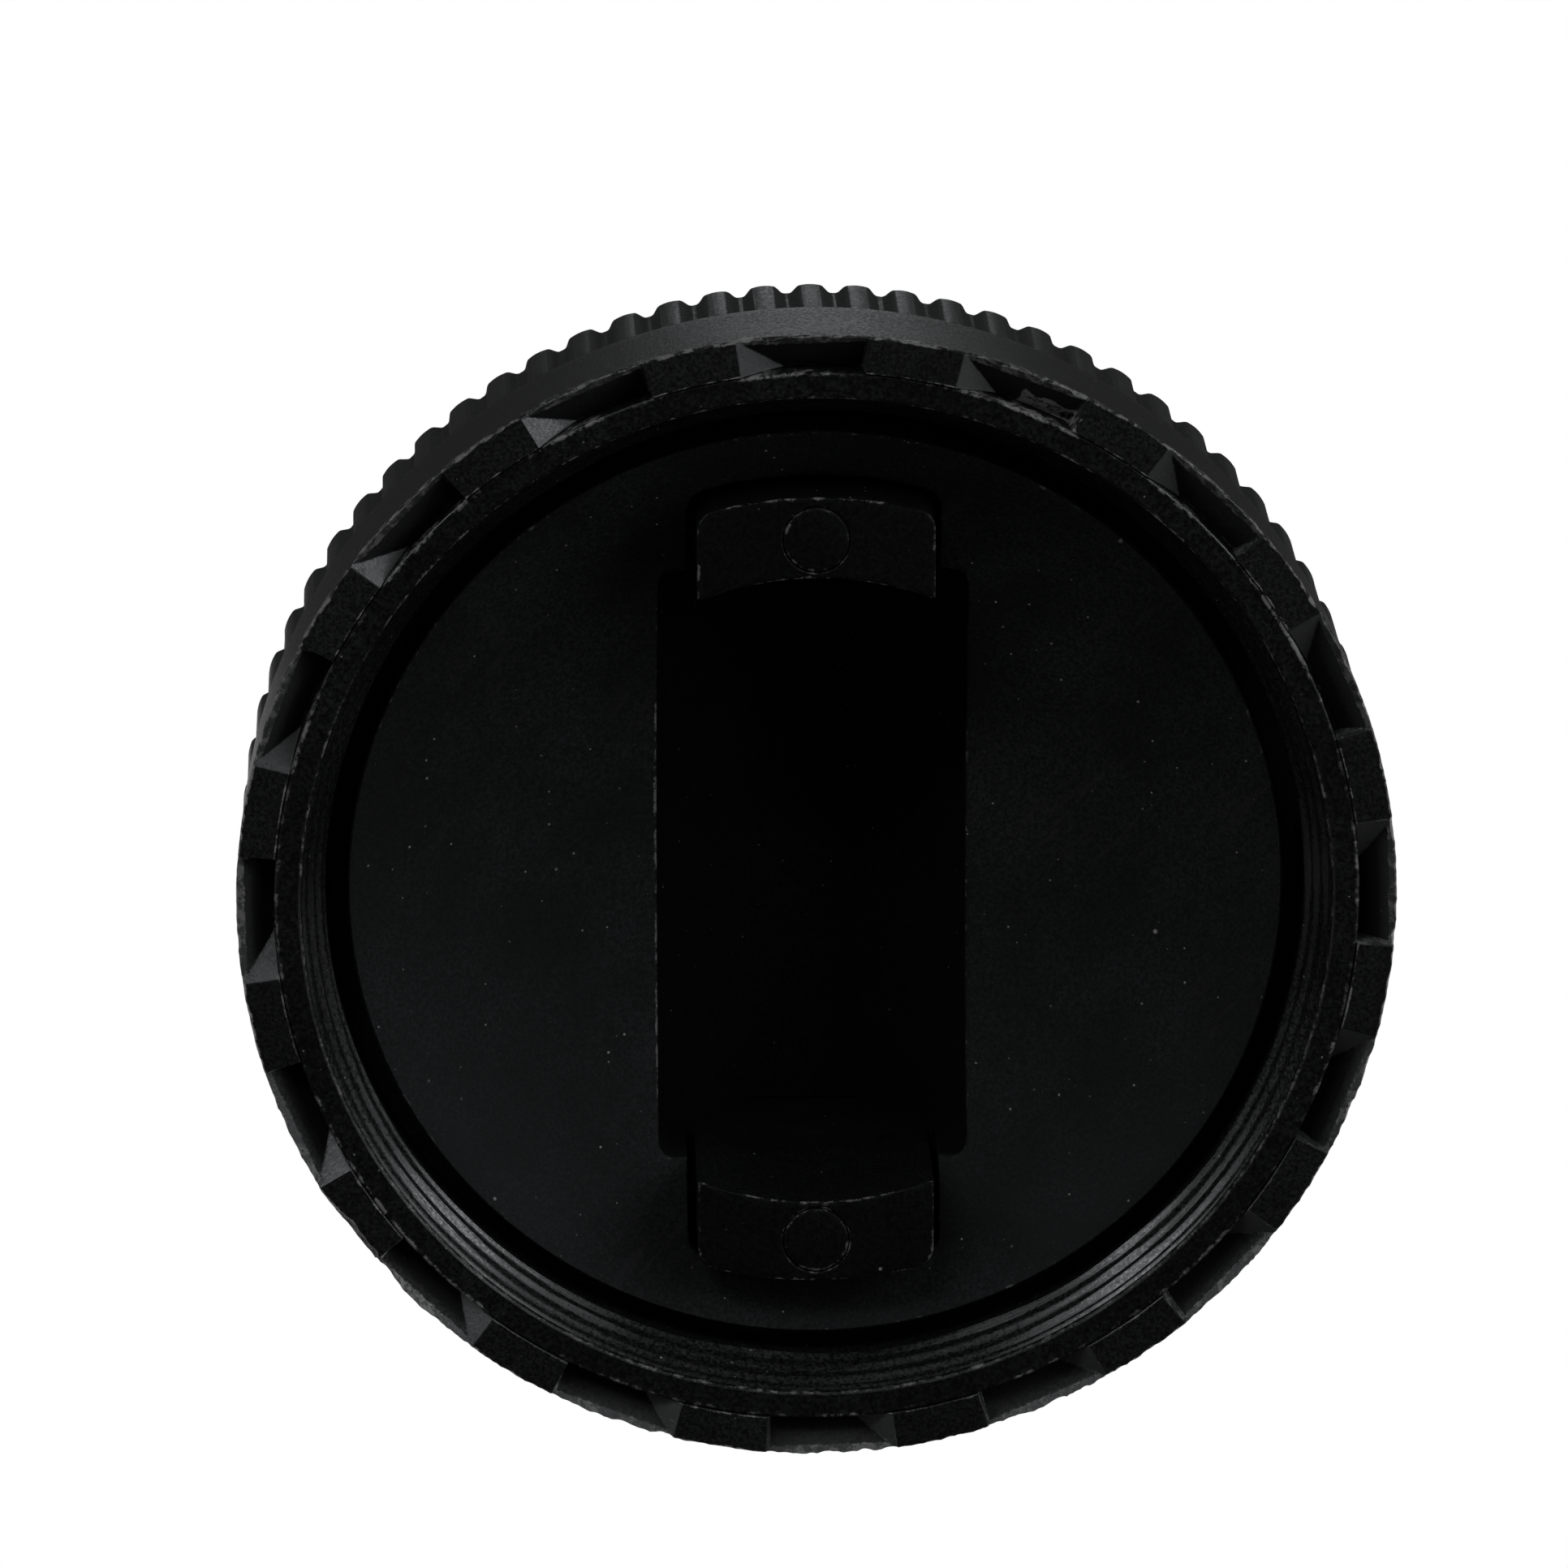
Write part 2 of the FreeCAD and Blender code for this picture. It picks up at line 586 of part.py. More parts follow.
def rotor_shaft():
    """Shaft with a fixing flange in front, a circlip groove and a square end."""
    body = lathe([(0, DIAL_BACK), (SHAFT_FLANGE_R, DIAL_BACK), (SHAFT_FLANGE_R, SHAFT_FLANGE_BACK),
                  (SHAFT_R, SHAFT_FLANGE_BACK), (SHAFT_R, CIRCLIP_FRONT),
                  (CIRCLIP_GROOVE_R, CIRCLIP_FRONT), (CIRCLIP_GROOVE_R, CIRCLIP_BACK),
                  (SHAFT_R, CIRCLIP_BACK), (SHAFT_R, SHAFT_ROUND_BACK), (0, SHAFT_ROUND_BACK)])
    square = block(SHAFT_SQUARE, SHAFT_SQUARE, SHAFT_ROUND_BACK, SHAFT_BACK)
    holes = [flange_screw(x, z) for x, z in flange_screw_places()]
    holes.append(disc(CARRIER_SCREW_R, CARRIER_SCREW_FRONT, SHAFT_BACK + CUT))
    return body.fuse(square).cut(holes).removeSplitter()


def flange_screw(x, z):
    """Countersunk screw that ends flush with the flange."""
    head_r = BASE_SCREW_R + SHAFT_FLANGE_BACK - FLANGE_SCREW_SEAT
    head = Part.makeCone(BASE_SCREW_R, head_r, SHAFT_FLANGE_BACK - FLANGE_SCREW_SEAT,
                         at(FLANGE_SCREW_SEAT, x, z), AXIS)
    return disc(BASE_SCREW_R, FLANGE_SCREW_FRONT, FLANGE_SCREW_SEAT, x, z).fuse(head)


def flange_screws():
    return Part.makeCompound([flange_screw(x, z) for x, z in flange_screw_places()])


def stop_pin():
    return disc(STOP_PIN_R, STOP_PIN_FRONT, STOP_PIN_BACK, *stop_pin_place())


def circlip():
    """Open retaining ring in the shaft's groove."""
    ring = tube(CIRCLIP_R, CIRCLIP_GROOVE_R, CIRCLIP_FRONT, CIRCLIP_BACK)
    return ring.cut(block(CIRCLIP_OPENING, CIRCLIP_R + CUT, CIRCLIP_FRONT - CUT, CIRCLIP_BACK + CUT,
                          0, (CIRCLIP_R + CUT) / 2))


def contact_carrier():
    """Insulating block with a channel for the bridge and pockets for its springs."""
    body = disc(CARRIER_R, CARRIER_FRONT, CARRIER_BACK)
    openings = [block(2 * CARRIER_R + CUT, CHANNEL_WIDTH, CHANNEL_FRONT, CARRIER_BACK + CUT),
                block(SHAFT_SQUARE, SHAFT_SQUARE, CARRIER_FRONT - CUT, SHAFT_BACK),
                disc(CARRIER_SCREW_R, SHAFT_BACK - CUT, CHANNEL_FRONT),
                disc(CARRIER_SCREW_HEAD_R, CARRIER_SCREW_SEAT, CHANNEL_FRONT + CUT)]
    for x in (-SPRING_X, SPRING_X):
        openings.append(disc(SPRING_POCKET_R, SPRING_SEAT, CHANNEL_FRONT + CUT, x))
    return body.cut(openings).removeSplitter()


def carrier_screw():
    """Cheese-head screw that holds the carrier on the shaft."""
    shank = disc(CARRIER_SCREW_R, CARRIER_SCREW_FRONT, CARRIER_SCREW_SEAT)
    head = disc(CARRIER_SCREW_HEAD_R, CARRIER_SCREW_SEAT, CARRIER_SCREW_SEAT + CARRIER_SCREW_HEAD)
    slot = block(2 * CARRIER_SCREW_HEAD_R + CUT, CARRIER_SCREW_R / 2,
                 CARRIER_SCREW_SEAT + CARRIER_SCREW_HEAD / 2, CHANNEL_FRONT)
    return shank.fuse(head).cut(slot)


def contact_bridge():
    """Copper bar that joins the two terminals."""
    bar = block(BRIDGE_LENGTH, BRIDGE_WIDTH, BRIDGE_FRONT, BRIDGE_BACK)
    return bar.common(disc(BRIDGE_LENGTH / 2, BRIDGE_FRONT, BRIDGE_BACK))


def contact_buttons():
    gap = BUSH_GAP / 2
    return Part.makeCompound([disc(BUTTON_R, BRIDGE_BACK, BASE_FRONT - gap, x)
                              for x in (-STUD_X, STUD_X)])


def contact_spring(x):
    """Coil spring between the carrier's pocket and the bridge."""
    length = BRIDGE_FRONT - SPRING_SEAT - 2 * SPRING_WIRE_R
    helix = Part.makeHelix(length / SPRING_TURNS, length, SPRING_R)
    wire_end = Part.Wire(Part.makeCircle(SPRING_WIRE_R, V(SPRING_R, 0, 0), V(0, 1, 0)))
    coil = Part.Wire(helix).makePipeShell([wire_end], True, True)
    coil.rotate(ORIGIN, V(1, 0, 0), -90)
    coil.translate(at(SPRING_SEAT + SPRING_WIRE_R, x))
    return coil


def contact_springs():
    return Part.makeCompound([contact_spring(x) for x in (-SPRING_X, SPRING_X)])


def pieces():
    """Every node's name and shape."""
    return {
        "knurled_ring": knurled_ring(),
        "threaded_sleeve": threaded_sleeve(),
        "slip_washer": slip_washer(),
        "housing_bezel": housing_bezel(),
        "housing": housing(),
        "panel_gasket": panel_gasket(),
        "clamp_nut": clamp_nut(),
        "rotor_bush": rotor_bush(),
        "friction_washer": friction_washer(),
        "thrust_washer": thrust_washer(),
        "base_plate": base_plate(),
        "base_gasket": base_gasket(),
        "base_screws": base_screws(),
        "stud_supply": stud(-STUD_X),
        "stud_load": stud(STUD_X),
        "contact_pad_supply": contact_pad(-STUD_X),
        "contact_pad_load": contact_pad(STUD_X),
        "stud_seals": both_studs(stud_seal),
        "jam_nuts": both_studs(jam_nut),
        "flat_washers": both_studs(flat_washer),
        "lock_washers": both_studs(lock_washer),
        "terminal_nuts": both_studs(terminal_nut),
        "dial": dial(),
        "shoe_upper": shoe(1),
        "shoe_lower": shoe(-1),
        "shoe_pins": shoe_pins(),
        "dial_seal": dial_seal(),
        "rotor_shaft": rotor_shaft(),
        "flange_screws": flange_screws(),
        "stop_pin": stop_pin(),
        "circlip": circlip(),
        "contact_carrier": contact_carrier(),
        "carrier_screw": carrier_screw(),
        "contact_bridge": contact_bridge(),
        "contact_buttons": contact_buttons(),
        "contact_springs": contact_springs(),
    }


os.makedirs("parts", exist_ok=True)
for name, shape in pieces().items():
    shape.exportStep("parts/" + name + ".step")
    print(name, "solids", len(shape.Solids), "valid", shape.isValid(), "volume", round(shape.Volume, 1))
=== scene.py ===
"""Looks of a panel-mounted battery switch: black mouldings in front, brass and steel behind.

The part's lengths are millimetres, and its angles are degrees clockwise from +Z, seen by someone who
faces the dial. A depth is measured behind the rim of the knurled ring. Meshes are built in the frame's
metres, and the studio and the camera's place are in metres too.
"""

import json
import math

import bmesh
import bpy
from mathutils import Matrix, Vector, noise


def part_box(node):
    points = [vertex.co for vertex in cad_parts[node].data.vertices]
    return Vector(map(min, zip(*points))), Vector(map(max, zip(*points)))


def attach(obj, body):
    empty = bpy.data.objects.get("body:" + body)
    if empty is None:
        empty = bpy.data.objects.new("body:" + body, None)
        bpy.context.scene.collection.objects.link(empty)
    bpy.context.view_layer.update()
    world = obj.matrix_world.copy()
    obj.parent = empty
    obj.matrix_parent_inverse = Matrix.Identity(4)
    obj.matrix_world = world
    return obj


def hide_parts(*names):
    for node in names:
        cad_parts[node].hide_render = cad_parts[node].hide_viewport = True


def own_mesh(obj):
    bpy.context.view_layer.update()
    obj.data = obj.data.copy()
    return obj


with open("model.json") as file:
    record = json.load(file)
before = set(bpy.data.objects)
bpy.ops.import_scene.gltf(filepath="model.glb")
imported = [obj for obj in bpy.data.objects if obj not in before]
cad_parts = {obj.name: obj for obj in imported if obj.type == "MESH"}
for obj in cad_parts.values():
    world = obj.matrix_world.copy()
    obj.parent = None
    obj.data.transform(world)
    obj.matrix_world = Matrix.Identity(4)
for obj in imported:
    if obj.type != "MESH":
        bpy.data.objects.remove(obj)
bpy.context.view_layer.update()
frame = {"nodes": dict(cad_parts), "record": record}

MM = 0.001
WELD = MM / 500
HALVINGS = 40


def reach_of(node):
    """Largest radius of a CAD node about the switch axis."""
    return max(math.hypot(v.co.x, v.co.z) for v in frame["nodes"][node].data.vertices) / MM


def depths_of(node):
    """Front and back of a CAD node, as depths behind the ring's rim."""
    low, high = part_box(node)
    return (low.y - RIM_Y) / MM, (high.y - RIM_Y) / MM


# Sizes that the frame gives. The rim's own irregularity needs a little room inside the CAD's
CAD_CLEARANCE = 0.015
RIM_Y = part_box("knurled_ring")[0].y
RIM_R = reach_of("knurled_ring") - CAD_CLEARANCE
SLEEVE_R = reach_of("threaded_sleeve")
DIAL_R = reach_of("dial")
RING_BACK = depths_of("knurled_ring")[1]
SLEEVE_FRONT = depths_of("threaded_sleeve")[0]
DIAL_EDGE, DIAL_BACK = depths_of("dial")
SHOE_FRONT, TAB_FLOOR = depths_of("shoe_upper")
SHOE_HALF_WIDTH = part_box("shoe_upper")[1].x / MM
SHOE_OUTER_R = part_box("shoe_upper")[1].z / MM
STUD_X = sum(corner.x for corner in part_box("stud_load")) / 2 / MM
STUD_FRONT, STUD_BACK = depths_of("stud_load")
STUD_HEAD_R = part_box("stud_load")[1].x / MM - STUD_X

# Knurled ring: a smooth skirt that narrows to RING_R, then ribs whose shares are of half a pitch
RING_R = 34.7
SKIRT_WAVE = 0.015
KNURL_FRONT = 8.75
RIB_COUNT = 76
RIB_DEPTH = 0.55
RIB_DOME = 0.12
RIB_CREST_SHARE = 0.42
RIB_VALLEY_SHARE = 0.9
RIB_WAVE = 0.02
RIB_STEP = 0.26

# Pockets in the ring's rim: each starts with a ramp, has a lip outside and ends in a steep wall
POCKET_COUNT = 16
POCKET_PITCH = 360 / POCKET_COUNT
POCKET_START = 14.5
POCKET_ANGLE = 13.1
POCKET_FLOOR = 1.9
POCKET_LIP = 0.3
POCKET_CHORD_R = 34.4
LIP_SLOPE = 0.65
LIP_WIDTH = 0.5
RAMP_ANGLE = 4.7
END_WALL_SLOPE = 9.0
END_WALL_FROM = 12.7
RAMP_STEP = 0.15
FLOOR_STEP = 0.4
END_WALL_STEP = 0.1
LAND_STEP = 0.45
RIM_ROWS = 26
RIM_WAVE = 0.012

# How pale and how worn the ring's surfaces are, with painted light; paleness runs from -1, painted shade
# that is near black and matt, to 1, a painted highlight. The crests' paleness is handling wear, the end
# walls' paleness and pale patches are painted highlight, and the lip's are partly pale wear and partly
# painted highlight
CREST_PALENESS = 0.35
END_WALL_HIGHLIGHT = 0.5
END_WALL_HIGHLIGHT_PATCHES = 0.75
LIP_PALENESS_AND_HIGHLIGHT = 0.5
LIP_WEAR_AND_HIGHLIGHT = 0.85

# Threaded sleeve: a lead-in cone, a crest with the mouth's thread, then an undercut
SLEEVE_BORE_R = 31.0
LEAD_IN = 0.6
CREST_R = 29.6
CREST_FRONT = 3.4
CREST_BACK = 6.8
UNDERCUT_R = 31.4
UNDERCUT_FRONT = 7.4
UNDERCUT_BACK = 9.2
NECK_THREAD_R = 30.7
CONE_PITCH = 0.93
CREST_PITCH = 1.13
THREAD_FLANK_SHARE = 0.45
THREAD_DRIFT = 0.15
THREAD_KEPT = 0.55
THREAD_KEPT_CHANGE = 0.5
THREAD_RUN_OUT = 0.3
CREST_THREAD_STEP = 0.1
BORE_ROW = 0.085
BORE_WAVE = 0.01
SLEEVE_PRESSED_FRONT = 3.0
SLEEVE_RELIEVED_BACK = 2.2
SLEEVE_RELIEF = 0.01
SLEEVE_EDGE = 0.16
SLEEVE_FACE_DIP = 0.02
SLEEVE_NICK = 0.03
SLEEVE_CHIP = 0.2
SLEEVE_EDGE_WEAR = 0.45
CHIPPED_WEAR = 0.8
RUBBED_WEAR = 1.2
# Beside the ramps the sleeve's edge gets a painted highlight, through the same pale patches as wear
RAMP_SIDE_HIGHLIGHT = 0.3

# Dial, its slot and its shoes
DISH_DEPTH = 12.6
DISH_SPHERE_R = 48.2
DIAL_SKIRT_BACK = 9.0
HUB_R = 26.5
HUB_BACK = 17.2
CORE_R = 22.3
SEAL_GROOVE_R = 24.75
SEAL_GROOVE_FRONT = 14.2
SEAL_GROOVE_BACK = 16.2
SLOT_HALF_WIDTH = 9.4
SLOT_HALF_LENGTH = 18.5
SLOT_WALL_BACK = 14.4
SLOT_FLOOR = 20.2
SLOT_FLOOR_HALF_WIDTH = 3.1
SLOT_CORNER_R = 1.0
SLOT_CHAFED_FROM = 212
SLOT_CHAFED_TO = 318
SLOT_CHAFING = 0.6
SLOT_RAGGED = 0.06
SLOT_CHAFED_RAGGED = 0.12
SLOT_SIDES_END = 0.85
TAB_HALF_WIDTH = 7.66
TAB_R = 25.0
SHOE_INNER_R = 19.5
SHOE_CORNER_R = 0.9
SHOE_STEP = 1.1
PARTING_LINE = 0.05
PARTING_ANGLE = 1.2
PIN_R = 2.0
PIN_CIRCLE_R = 21.9
PIN_BACK = 16.6
SHOE_FACE_SINK = 0.02
PIN_FACE_SINK = 0.03

# Barrel behind the panel, whose thread takes the clamp nut; the ridge is in the bump's own unit
BARREL_R = reach_of("housing")
BARREL_THREAD_PITCH = 1.5
BARREL_THREAD_REACH = 0.3
BARREL_THREAD_RIDGE = 14.0

# Studs
STUD_R = 4.0
STUD_HEAD_BACK = 44.2
STUD_THREAD_FRONT = 47.0
STUD_PITCH = 1.25
STUD_THREAD_DEPTH = 0.6
STUD_CREST_SHARE = 0.12
STUD_CHAMFER = 0.9
STUD_TIP_INSET = 1.1

# Softness and irregularity of the moulded edges, and the angles where they are damaged
EDGE = 0.1
FLASH = 0.13
BROKEN_EDGE = 0.45
BROKEN_FROM = 226
BROKEN_TO = 238
CHIPPED_FROM = 19
CHIPPED_TO = 29
BRUISE_FROM = 21.5
BRUISE_TO = 27.9
BRUISE_WIDTH = 1.1
BRUISE_WEAR = 1.6
RUBBED_AT = (57, 232)
RUBBED_REACH = 8


# Mesh building

def place(radius, angle, depth, centre):
    """Point at a radius and angle about a line parallel to the axis through centre (x, z)."""
    turn = math.radians(angle)
    x = centre[0] + radius * math.sin(turn)
    z = centre[1] + radius * math.cos(turn)
    return x * MM, RIM_Y + depth * MM, z * MM


def loft(name, columns, profile, closed=True, centre=(0, 0), sharp=32):
    """Solid through one profile per angle: rows of radius, depth, wear with painted highlight, and, if not
    zero, paleness with painted light.

    A closed profile joins its last row to its first. An open one starts and ends on its own axis.
    """
    vertices = []
    wear_and_highlight = []
    pale_and_painted_light = []
    for angle in columns:
        for row in profile(angle):
            vertices.append(place(row[0], angle, row[1], centre))
            wear_and_highlight.append(row[2])
            pale_and_painted_light.append(row[3] if len(row) > 3 else 0.0)
    rows = len(vertices) // len(columns)
    faces = []
    for column in range(len(columns)):
        here = column * rows
        there = (column + 1) % len(columns) * rows
        for row in range(rows if closed else rows - 1):
            after = (row + 1) % rows
            faces.append((here + row, here + after, there + after, there + row))
    mesh = bpy.data.meshes.new(name)
    mesh.from_pydata(vertices, [], faces)
    mesh.attributes.new("wear_and_highlight", "FLOAT", "POINT").data.foreach_set("value", wear_and_highlight)
    mesh.attributes.new("pale_and_painted_light", "FLOAT", "POINT").data.foreach_set("value", pale_and_painted_light)
    build = bmesh.new()
    build.from_mesh(mesh)
    bmesh.ops.remove_doubles(build, verts=build.verts, dist=WELD)
    bmesh.ops.recalc_face_normals(build, faces=build.faces)
    build.to_mesh(mesh)
    build.free()
    mesh.shade_smooth()
    mesh.set_sharp_from_angle(angle=math.radians(sharp))
    piece = bpy.data.objects.new(name, mesh)
    bpy.context.scene.collection.objects.link(piece)
    return piece


def spread(first, last, step):
    """Evenly spaced values from first up to last, both included."""
    count = max(1, round((last - first) / step))
    return [first + (last - first) * index / count for index in range(count + 1)]


def sorted_angles(angles, closest=0.03):
    """Angles in order round the circle, without near repeats."""
    kept = []
    for angle in sorted(value % 360 for value in angles):
        if not kept or angle - kept[-1] > closest:
            kept.append(angle)
    return kept


def reach(inside, angle, centre=(0, 0)):
    """Distance from centre to the edge of a star-shaped outline, found by halving."""
    near, far = 0.0, 2 * DIAL_R
    direction = (math.sin(math.radians(angle)), math.cos(math.radians(angle)))
    for _ in range(HALVINGS):
        middle = (near + far) / 2
        if inside(centre[0] + middle * direction[0], centre[1] + middle * direction[1]):
            near = middle
        else:
            far = middle
    return near


def rough(angle, depth, scale, seed):
    """Smooth noise between about -1 and 1 that closes round the axis."""
    turn = math.radians(angle)
    return noise.noise(Vector((math.sin(turn), math.cos(turn), seed)) * RIM_R * scale
                       + Vector((0, 0, depth * scale)))


# Knurled ring

def in_pocket(angle):
    """Degrees past the start of the nearest pocket before this angle."""
    return (angle - POCKET_START) % POCKET_PITCH


def ramp_depth(radius, turn):
    """Depth of a pocket's plane ramp at some degrees past its start."""
    return POCKET_FLOOR * math.sin(math.radians(turn)) / math.radians(RAMP_ANGLE) * radius / SLEEVE_R


def rim_depth(radius, angle):
    """Depth of the rim's surface: zero on a land, or the pocket's scooped wall, ramp or end."""
    turn = in_pocket(angle)
    if turn >= POCKET_ANGLE:
        return 0.0
    across = radius * math.cos(math.radians(turn - POCKET_ANGLE / 2))
    if across > POCKET_CHORD_R:
        wall = max(0.0, POCKET_LIP - LIP_SLOPE * (across - POCKET_CHORD_R))
    else:
        share = min(1.0, (POCKET_CHORD_R - across) / (POCKET_CHORD_R - SLEEVE_R))
        wall = POCKET_LIP + (POCKET_FLOOR - POCKET_LIP) * share
    draft = END_WALL_SLOPE * math.radians(POCKET_ANGLE - turn) * radius
    return min(wall, ramp_depth(radius, turn), draft)


def from_rib(angle):
    """Share of the way from the middle of the nearest rib to the middle of a groove."""
    return abs((angle * RIB_COUNT / 360 + 0.5) % 1 - 0.5) * 2


def rib_radius(angle):
    """Domed crests and cosine flanks down to narrow grooves."""
    flank = (from_rib(angle) - RIB_CREST_SHARE) / (RIB_VALLEY_SHARE - RIB_CREST_SHARE)
    drop = (1 - math.cos(min(1.0, max(0.0, flank)) * math.pi)) / 2
    dome = RIB_DOME * min(1.0, from_rib(angle) / RIB_CREST_SHARE) ** 2
    return RING_R - RIB_DEPTH * (dome + (1 - dome) * drop)


def rib_shade(angle):
    """Handling leaves the crests pale; the flanks get painted shade, near black, and are matt."""
    if from_rib(angle) < RIB_CREST_SHARE:
        return CREST_PALENESS
    return -1.0 if from_rib(angle) < RIB_VALLEY_SHARE else 0.0


def ring_columns():
    """Angles that follow the ribs, closer together on the ramps and end walls."""
    pitch = 360 / RIB_COUNT
    angles = []
    for rib in range(RIB_COUNT):
        angles += spread(rib * pitch, (rib + 1) * pitch, RIB_STEP)
    for pocket in range(POCKET_COUNT):
        start = POCKET_START + pocket * POCKET_PITCH
        ramp_end = start + RAMP_ANGLE * 1.1
        wall_start = start + POCKET_ANGLE - 1
        angles += spread(start, ramp_end, RAMP_STEP)
        angles += spread(ramp_end, wall_start, FLOOR_STEP)
        angles += spread(wall_start, start + POCKET_ANGLE, END_WALL_STEP)
        angles += spread(start + POCKET_ANGLE, start + POCKET_PITCH, LAND_STEP)
    return sorted_angles(angles)


def is_lip(radius, angle):
    """True where a pocket is no deeper than its lip."""
    return rim_depth(radius, angle) < POCKET_LIP + EDGE / 5


def broken_away(angle):
    """How far the rim's outer edge is broken or ragged inwards."""
    ragged = FLASH * abs(rough(angle, 0, scale=1.6, seed=3))
    ragged += FLASH * abs(rough(angle, 0, scale=0.5, seed=9))
    if in_pocket(angle) < POCKET_ANGLE:
        ragged += 2 * FLASH * max(0.0, rough(angle, 0, scale=0.8, seed=5))
    if BROKEN_FROM < angle < BROKEN_TO:
        from_end = min(angle - BROKEN_FROM, BROKEN_TO - angle) / 2
        jagged = 0.75 + 0.5 * rough(angle, 0, scale=1.2, seed=7)
        ragged += BROKEN_EDGE * min(1.0, from_end) * jagged
    return ragged


def bruised(radius, angle):
    """True where a blow has whitened the inner side of one pocket's end."""
    reached = SLEEVE_R + BRUISE_WIDTH + 0.5 * rough(angle, radius, scale=0.9, seed=19)
    return BRUISE_FROM < angle < BRUISE_TO and radius < reached


def pocket_paleness_and_painted_light(radius, angle):
    """Painted light in a pocket: one, a painted highlight, on its smooth ramp; less on its end wall, a
    painted highlight, and on its lip, partly pale wear and partly painted highlight; minus one, painted
    shade, inside; zero on a land.
    """
    turn = in_pocket(angle)
    if turn > POCKET_ANGLE or bruised(radius, angle):
        return 0.0
    if turn < RAMP_ANGLE and ramp_depth(radius, turn) < rim_depth(radius, angle) + EDGE / 10:
        return 1.0
    if turn > END_WALL_FROM:
        return END_WALL_HIGHLIGHT
    return LIP_PALENESS_AND_HIGHLIGHT if is_lip(radius, angle) else -1.0


def rubbed_and_highlit(radius, angle):
    """Pale patches inside a pocket: patchy on its end wall, where they are a painted highlight, and on its
    outer lip, where they are partly wear and partly painted highlight.
    """
    turn = in_pocket(angle)
    if bruised(radius, angle):
        return BRUISE_WEAR
    if END_WALL_FROM < turn < POCKET_ANGLE:
        return END_WALL_HIGHLIGHT_PATCHES
    outside = radius > POCKET_CHORD_R - LIP_WIDTH and turn < POCKET_ANGLE
    return LIP_WEAR_AND_HIGHLIGHT if outside and is_lip(radius, angle) else 0.0


def rim_rows(angle, lip_r):
    """Rows across the rim's surface, from the sleeve to the outer edge."""
    rows = []
    for step in range(RIM_ROWS + 1):
        share = step / RIM_ROWS
        radius = SLEEVE_R + EDGE / 2 + (lip_r - EDGE - SLEEVE_R) * share
        wobble = RIM_WAVE * rough(angle, radius, scale=1.1, seed=1)
        # The rim's edges get real wear here; the pockets' end walls and lips get painted highlight through
        # the same value
        edge_wear_and_highlight = max(rubbed_and_highlit(radius, angle), 1 - min(share, 1 - share) * 16)
        depth = rim_depth(radius, angle) + wobble + EDGE / 4
        rows.append((radius, depth, edge_wear_and_highlight, pocket_paleness_and_painted_light(radius, angle)))
    return rows


def skirt_rows(angle, start):
    """Rows down the smooth skirt from a depth, then down the ribs to the ring's back."""
    rows = []
    for share in (0.12, 0.3, 0.55, 0.8, 0.97):
        depth = start + (KNURL_FRONT - start) * share
        taper = RIM_R + (RING_R - RIM_R) * depth / KNURL_FRONT
        wave = SKIRT_WAVE * (1 + rough(angle, depth, scale=0.4, seed=2))
        rows.append((taper - wave, depth, 0.0))
    rib_r = rib_radius(angle)
    shade = rib_shade(angle)
    rows.append((RING_R - EDGE / 2, KNURL_FRONT - EDGE / 2, 0.3))
    rows.append((rib_r - EDGE / 3, KNURL_FRONT + EDGE / 3, 0.35, shade))
    for share in (0.05, 0.35, 0.65, 0.9):
        depth = KNURL_FRONT + (RING_BACK - KNURL_FRONT) * share
        wave = RIB_WAVE * (1 + rough(angle, depth, scale=0.7, seed=4))
        rows.append((rib_r - wave, depth, 0.1, shade))
    rows.append((rib_r - RIB_DEPTH, RING_BACK - EDGE, 0.3))
    rows.append((rib_r - RIB_DEPTH - EDGE, RING_BACK, 0.0))
    return rows


def ring_profile(angle):
    """Rows from the ring's inner back edge over its rim and down its outside."""
    lost = broken_away(angle)
    lip_r = RIM_R - lost
    edge_depth = rim_depth(lip_r, angle) + 2 * EDGE + lost
    inner_edge = [(SLEEVE_R, RING_BACK, 0), (SLEEVE_R, rim_depth(SLEEVE_R, angle) + EDGE, 0.4)]
    outer_edge = [(lip_r, rim_depth(lip_r, angle) + EDGE + lost / 4, 1.0),
                  (RIM_R - lost * 0.3, edge_depth, 0.9)]
    return inner_edge + rim_rows(angle, lip_r) + outer_edge + skirt_rows(angle, edge_depth)


# Threaded sleeve

def bore_radius(angle, depth):
    """Lead-in cone, crest with fine thread lines, then the undercut behind them."""
    if depth > CREST_BACK:
        share = min(1.0, (depth - CREST_BACK) / (UNDERCUT_FRONT - CREST_BACK))
        return CREST_R + (UNDERCUT_R - CREST_R) * share
    on_cone = depth < CREST_FRONT
    share = min(1.0, (depth - LEAD_IN) / (CREST_FRONT - LEAD_IN))
    radius = SLEEVE_BORE_R + (CREST_R - SLEEVE_BORE_R) * share
    pitch = CONE_PITCH if on_cone else CREST_PITCH
    cone_step = pitch * (SLEEVE_BORE_R - CREST_R) / (CREST_FRONT - LEAD_IN)
    step = cone_step if on_cone else CREST_THREAD_STEP
    drift = THREAD_DRIFT * rough(angle, depth, scale=0.05, seed=13)
    phase = ((depth - CREST_FRONT) / pitch - angle / 360 + drift) % 1
    tooth = phase - min(1.0, phase / THREAD_FLANK_SHARE)
    run_out = min(1.0, (depth - LEAD_IN) / THREAD_RUN_OUT, (CREST_BACK - depth) / THREAD_RUN_OUT)
    kept = THREAD_KEPT + THREAD_KEPT_CHANGE * rough(angle, 4 * depth, scale=0.12, seed=17)
    return radius + step * tooth * run_out * kept + BORE_WAVE * rough(angle, depth, scale=0.9, seed=6)


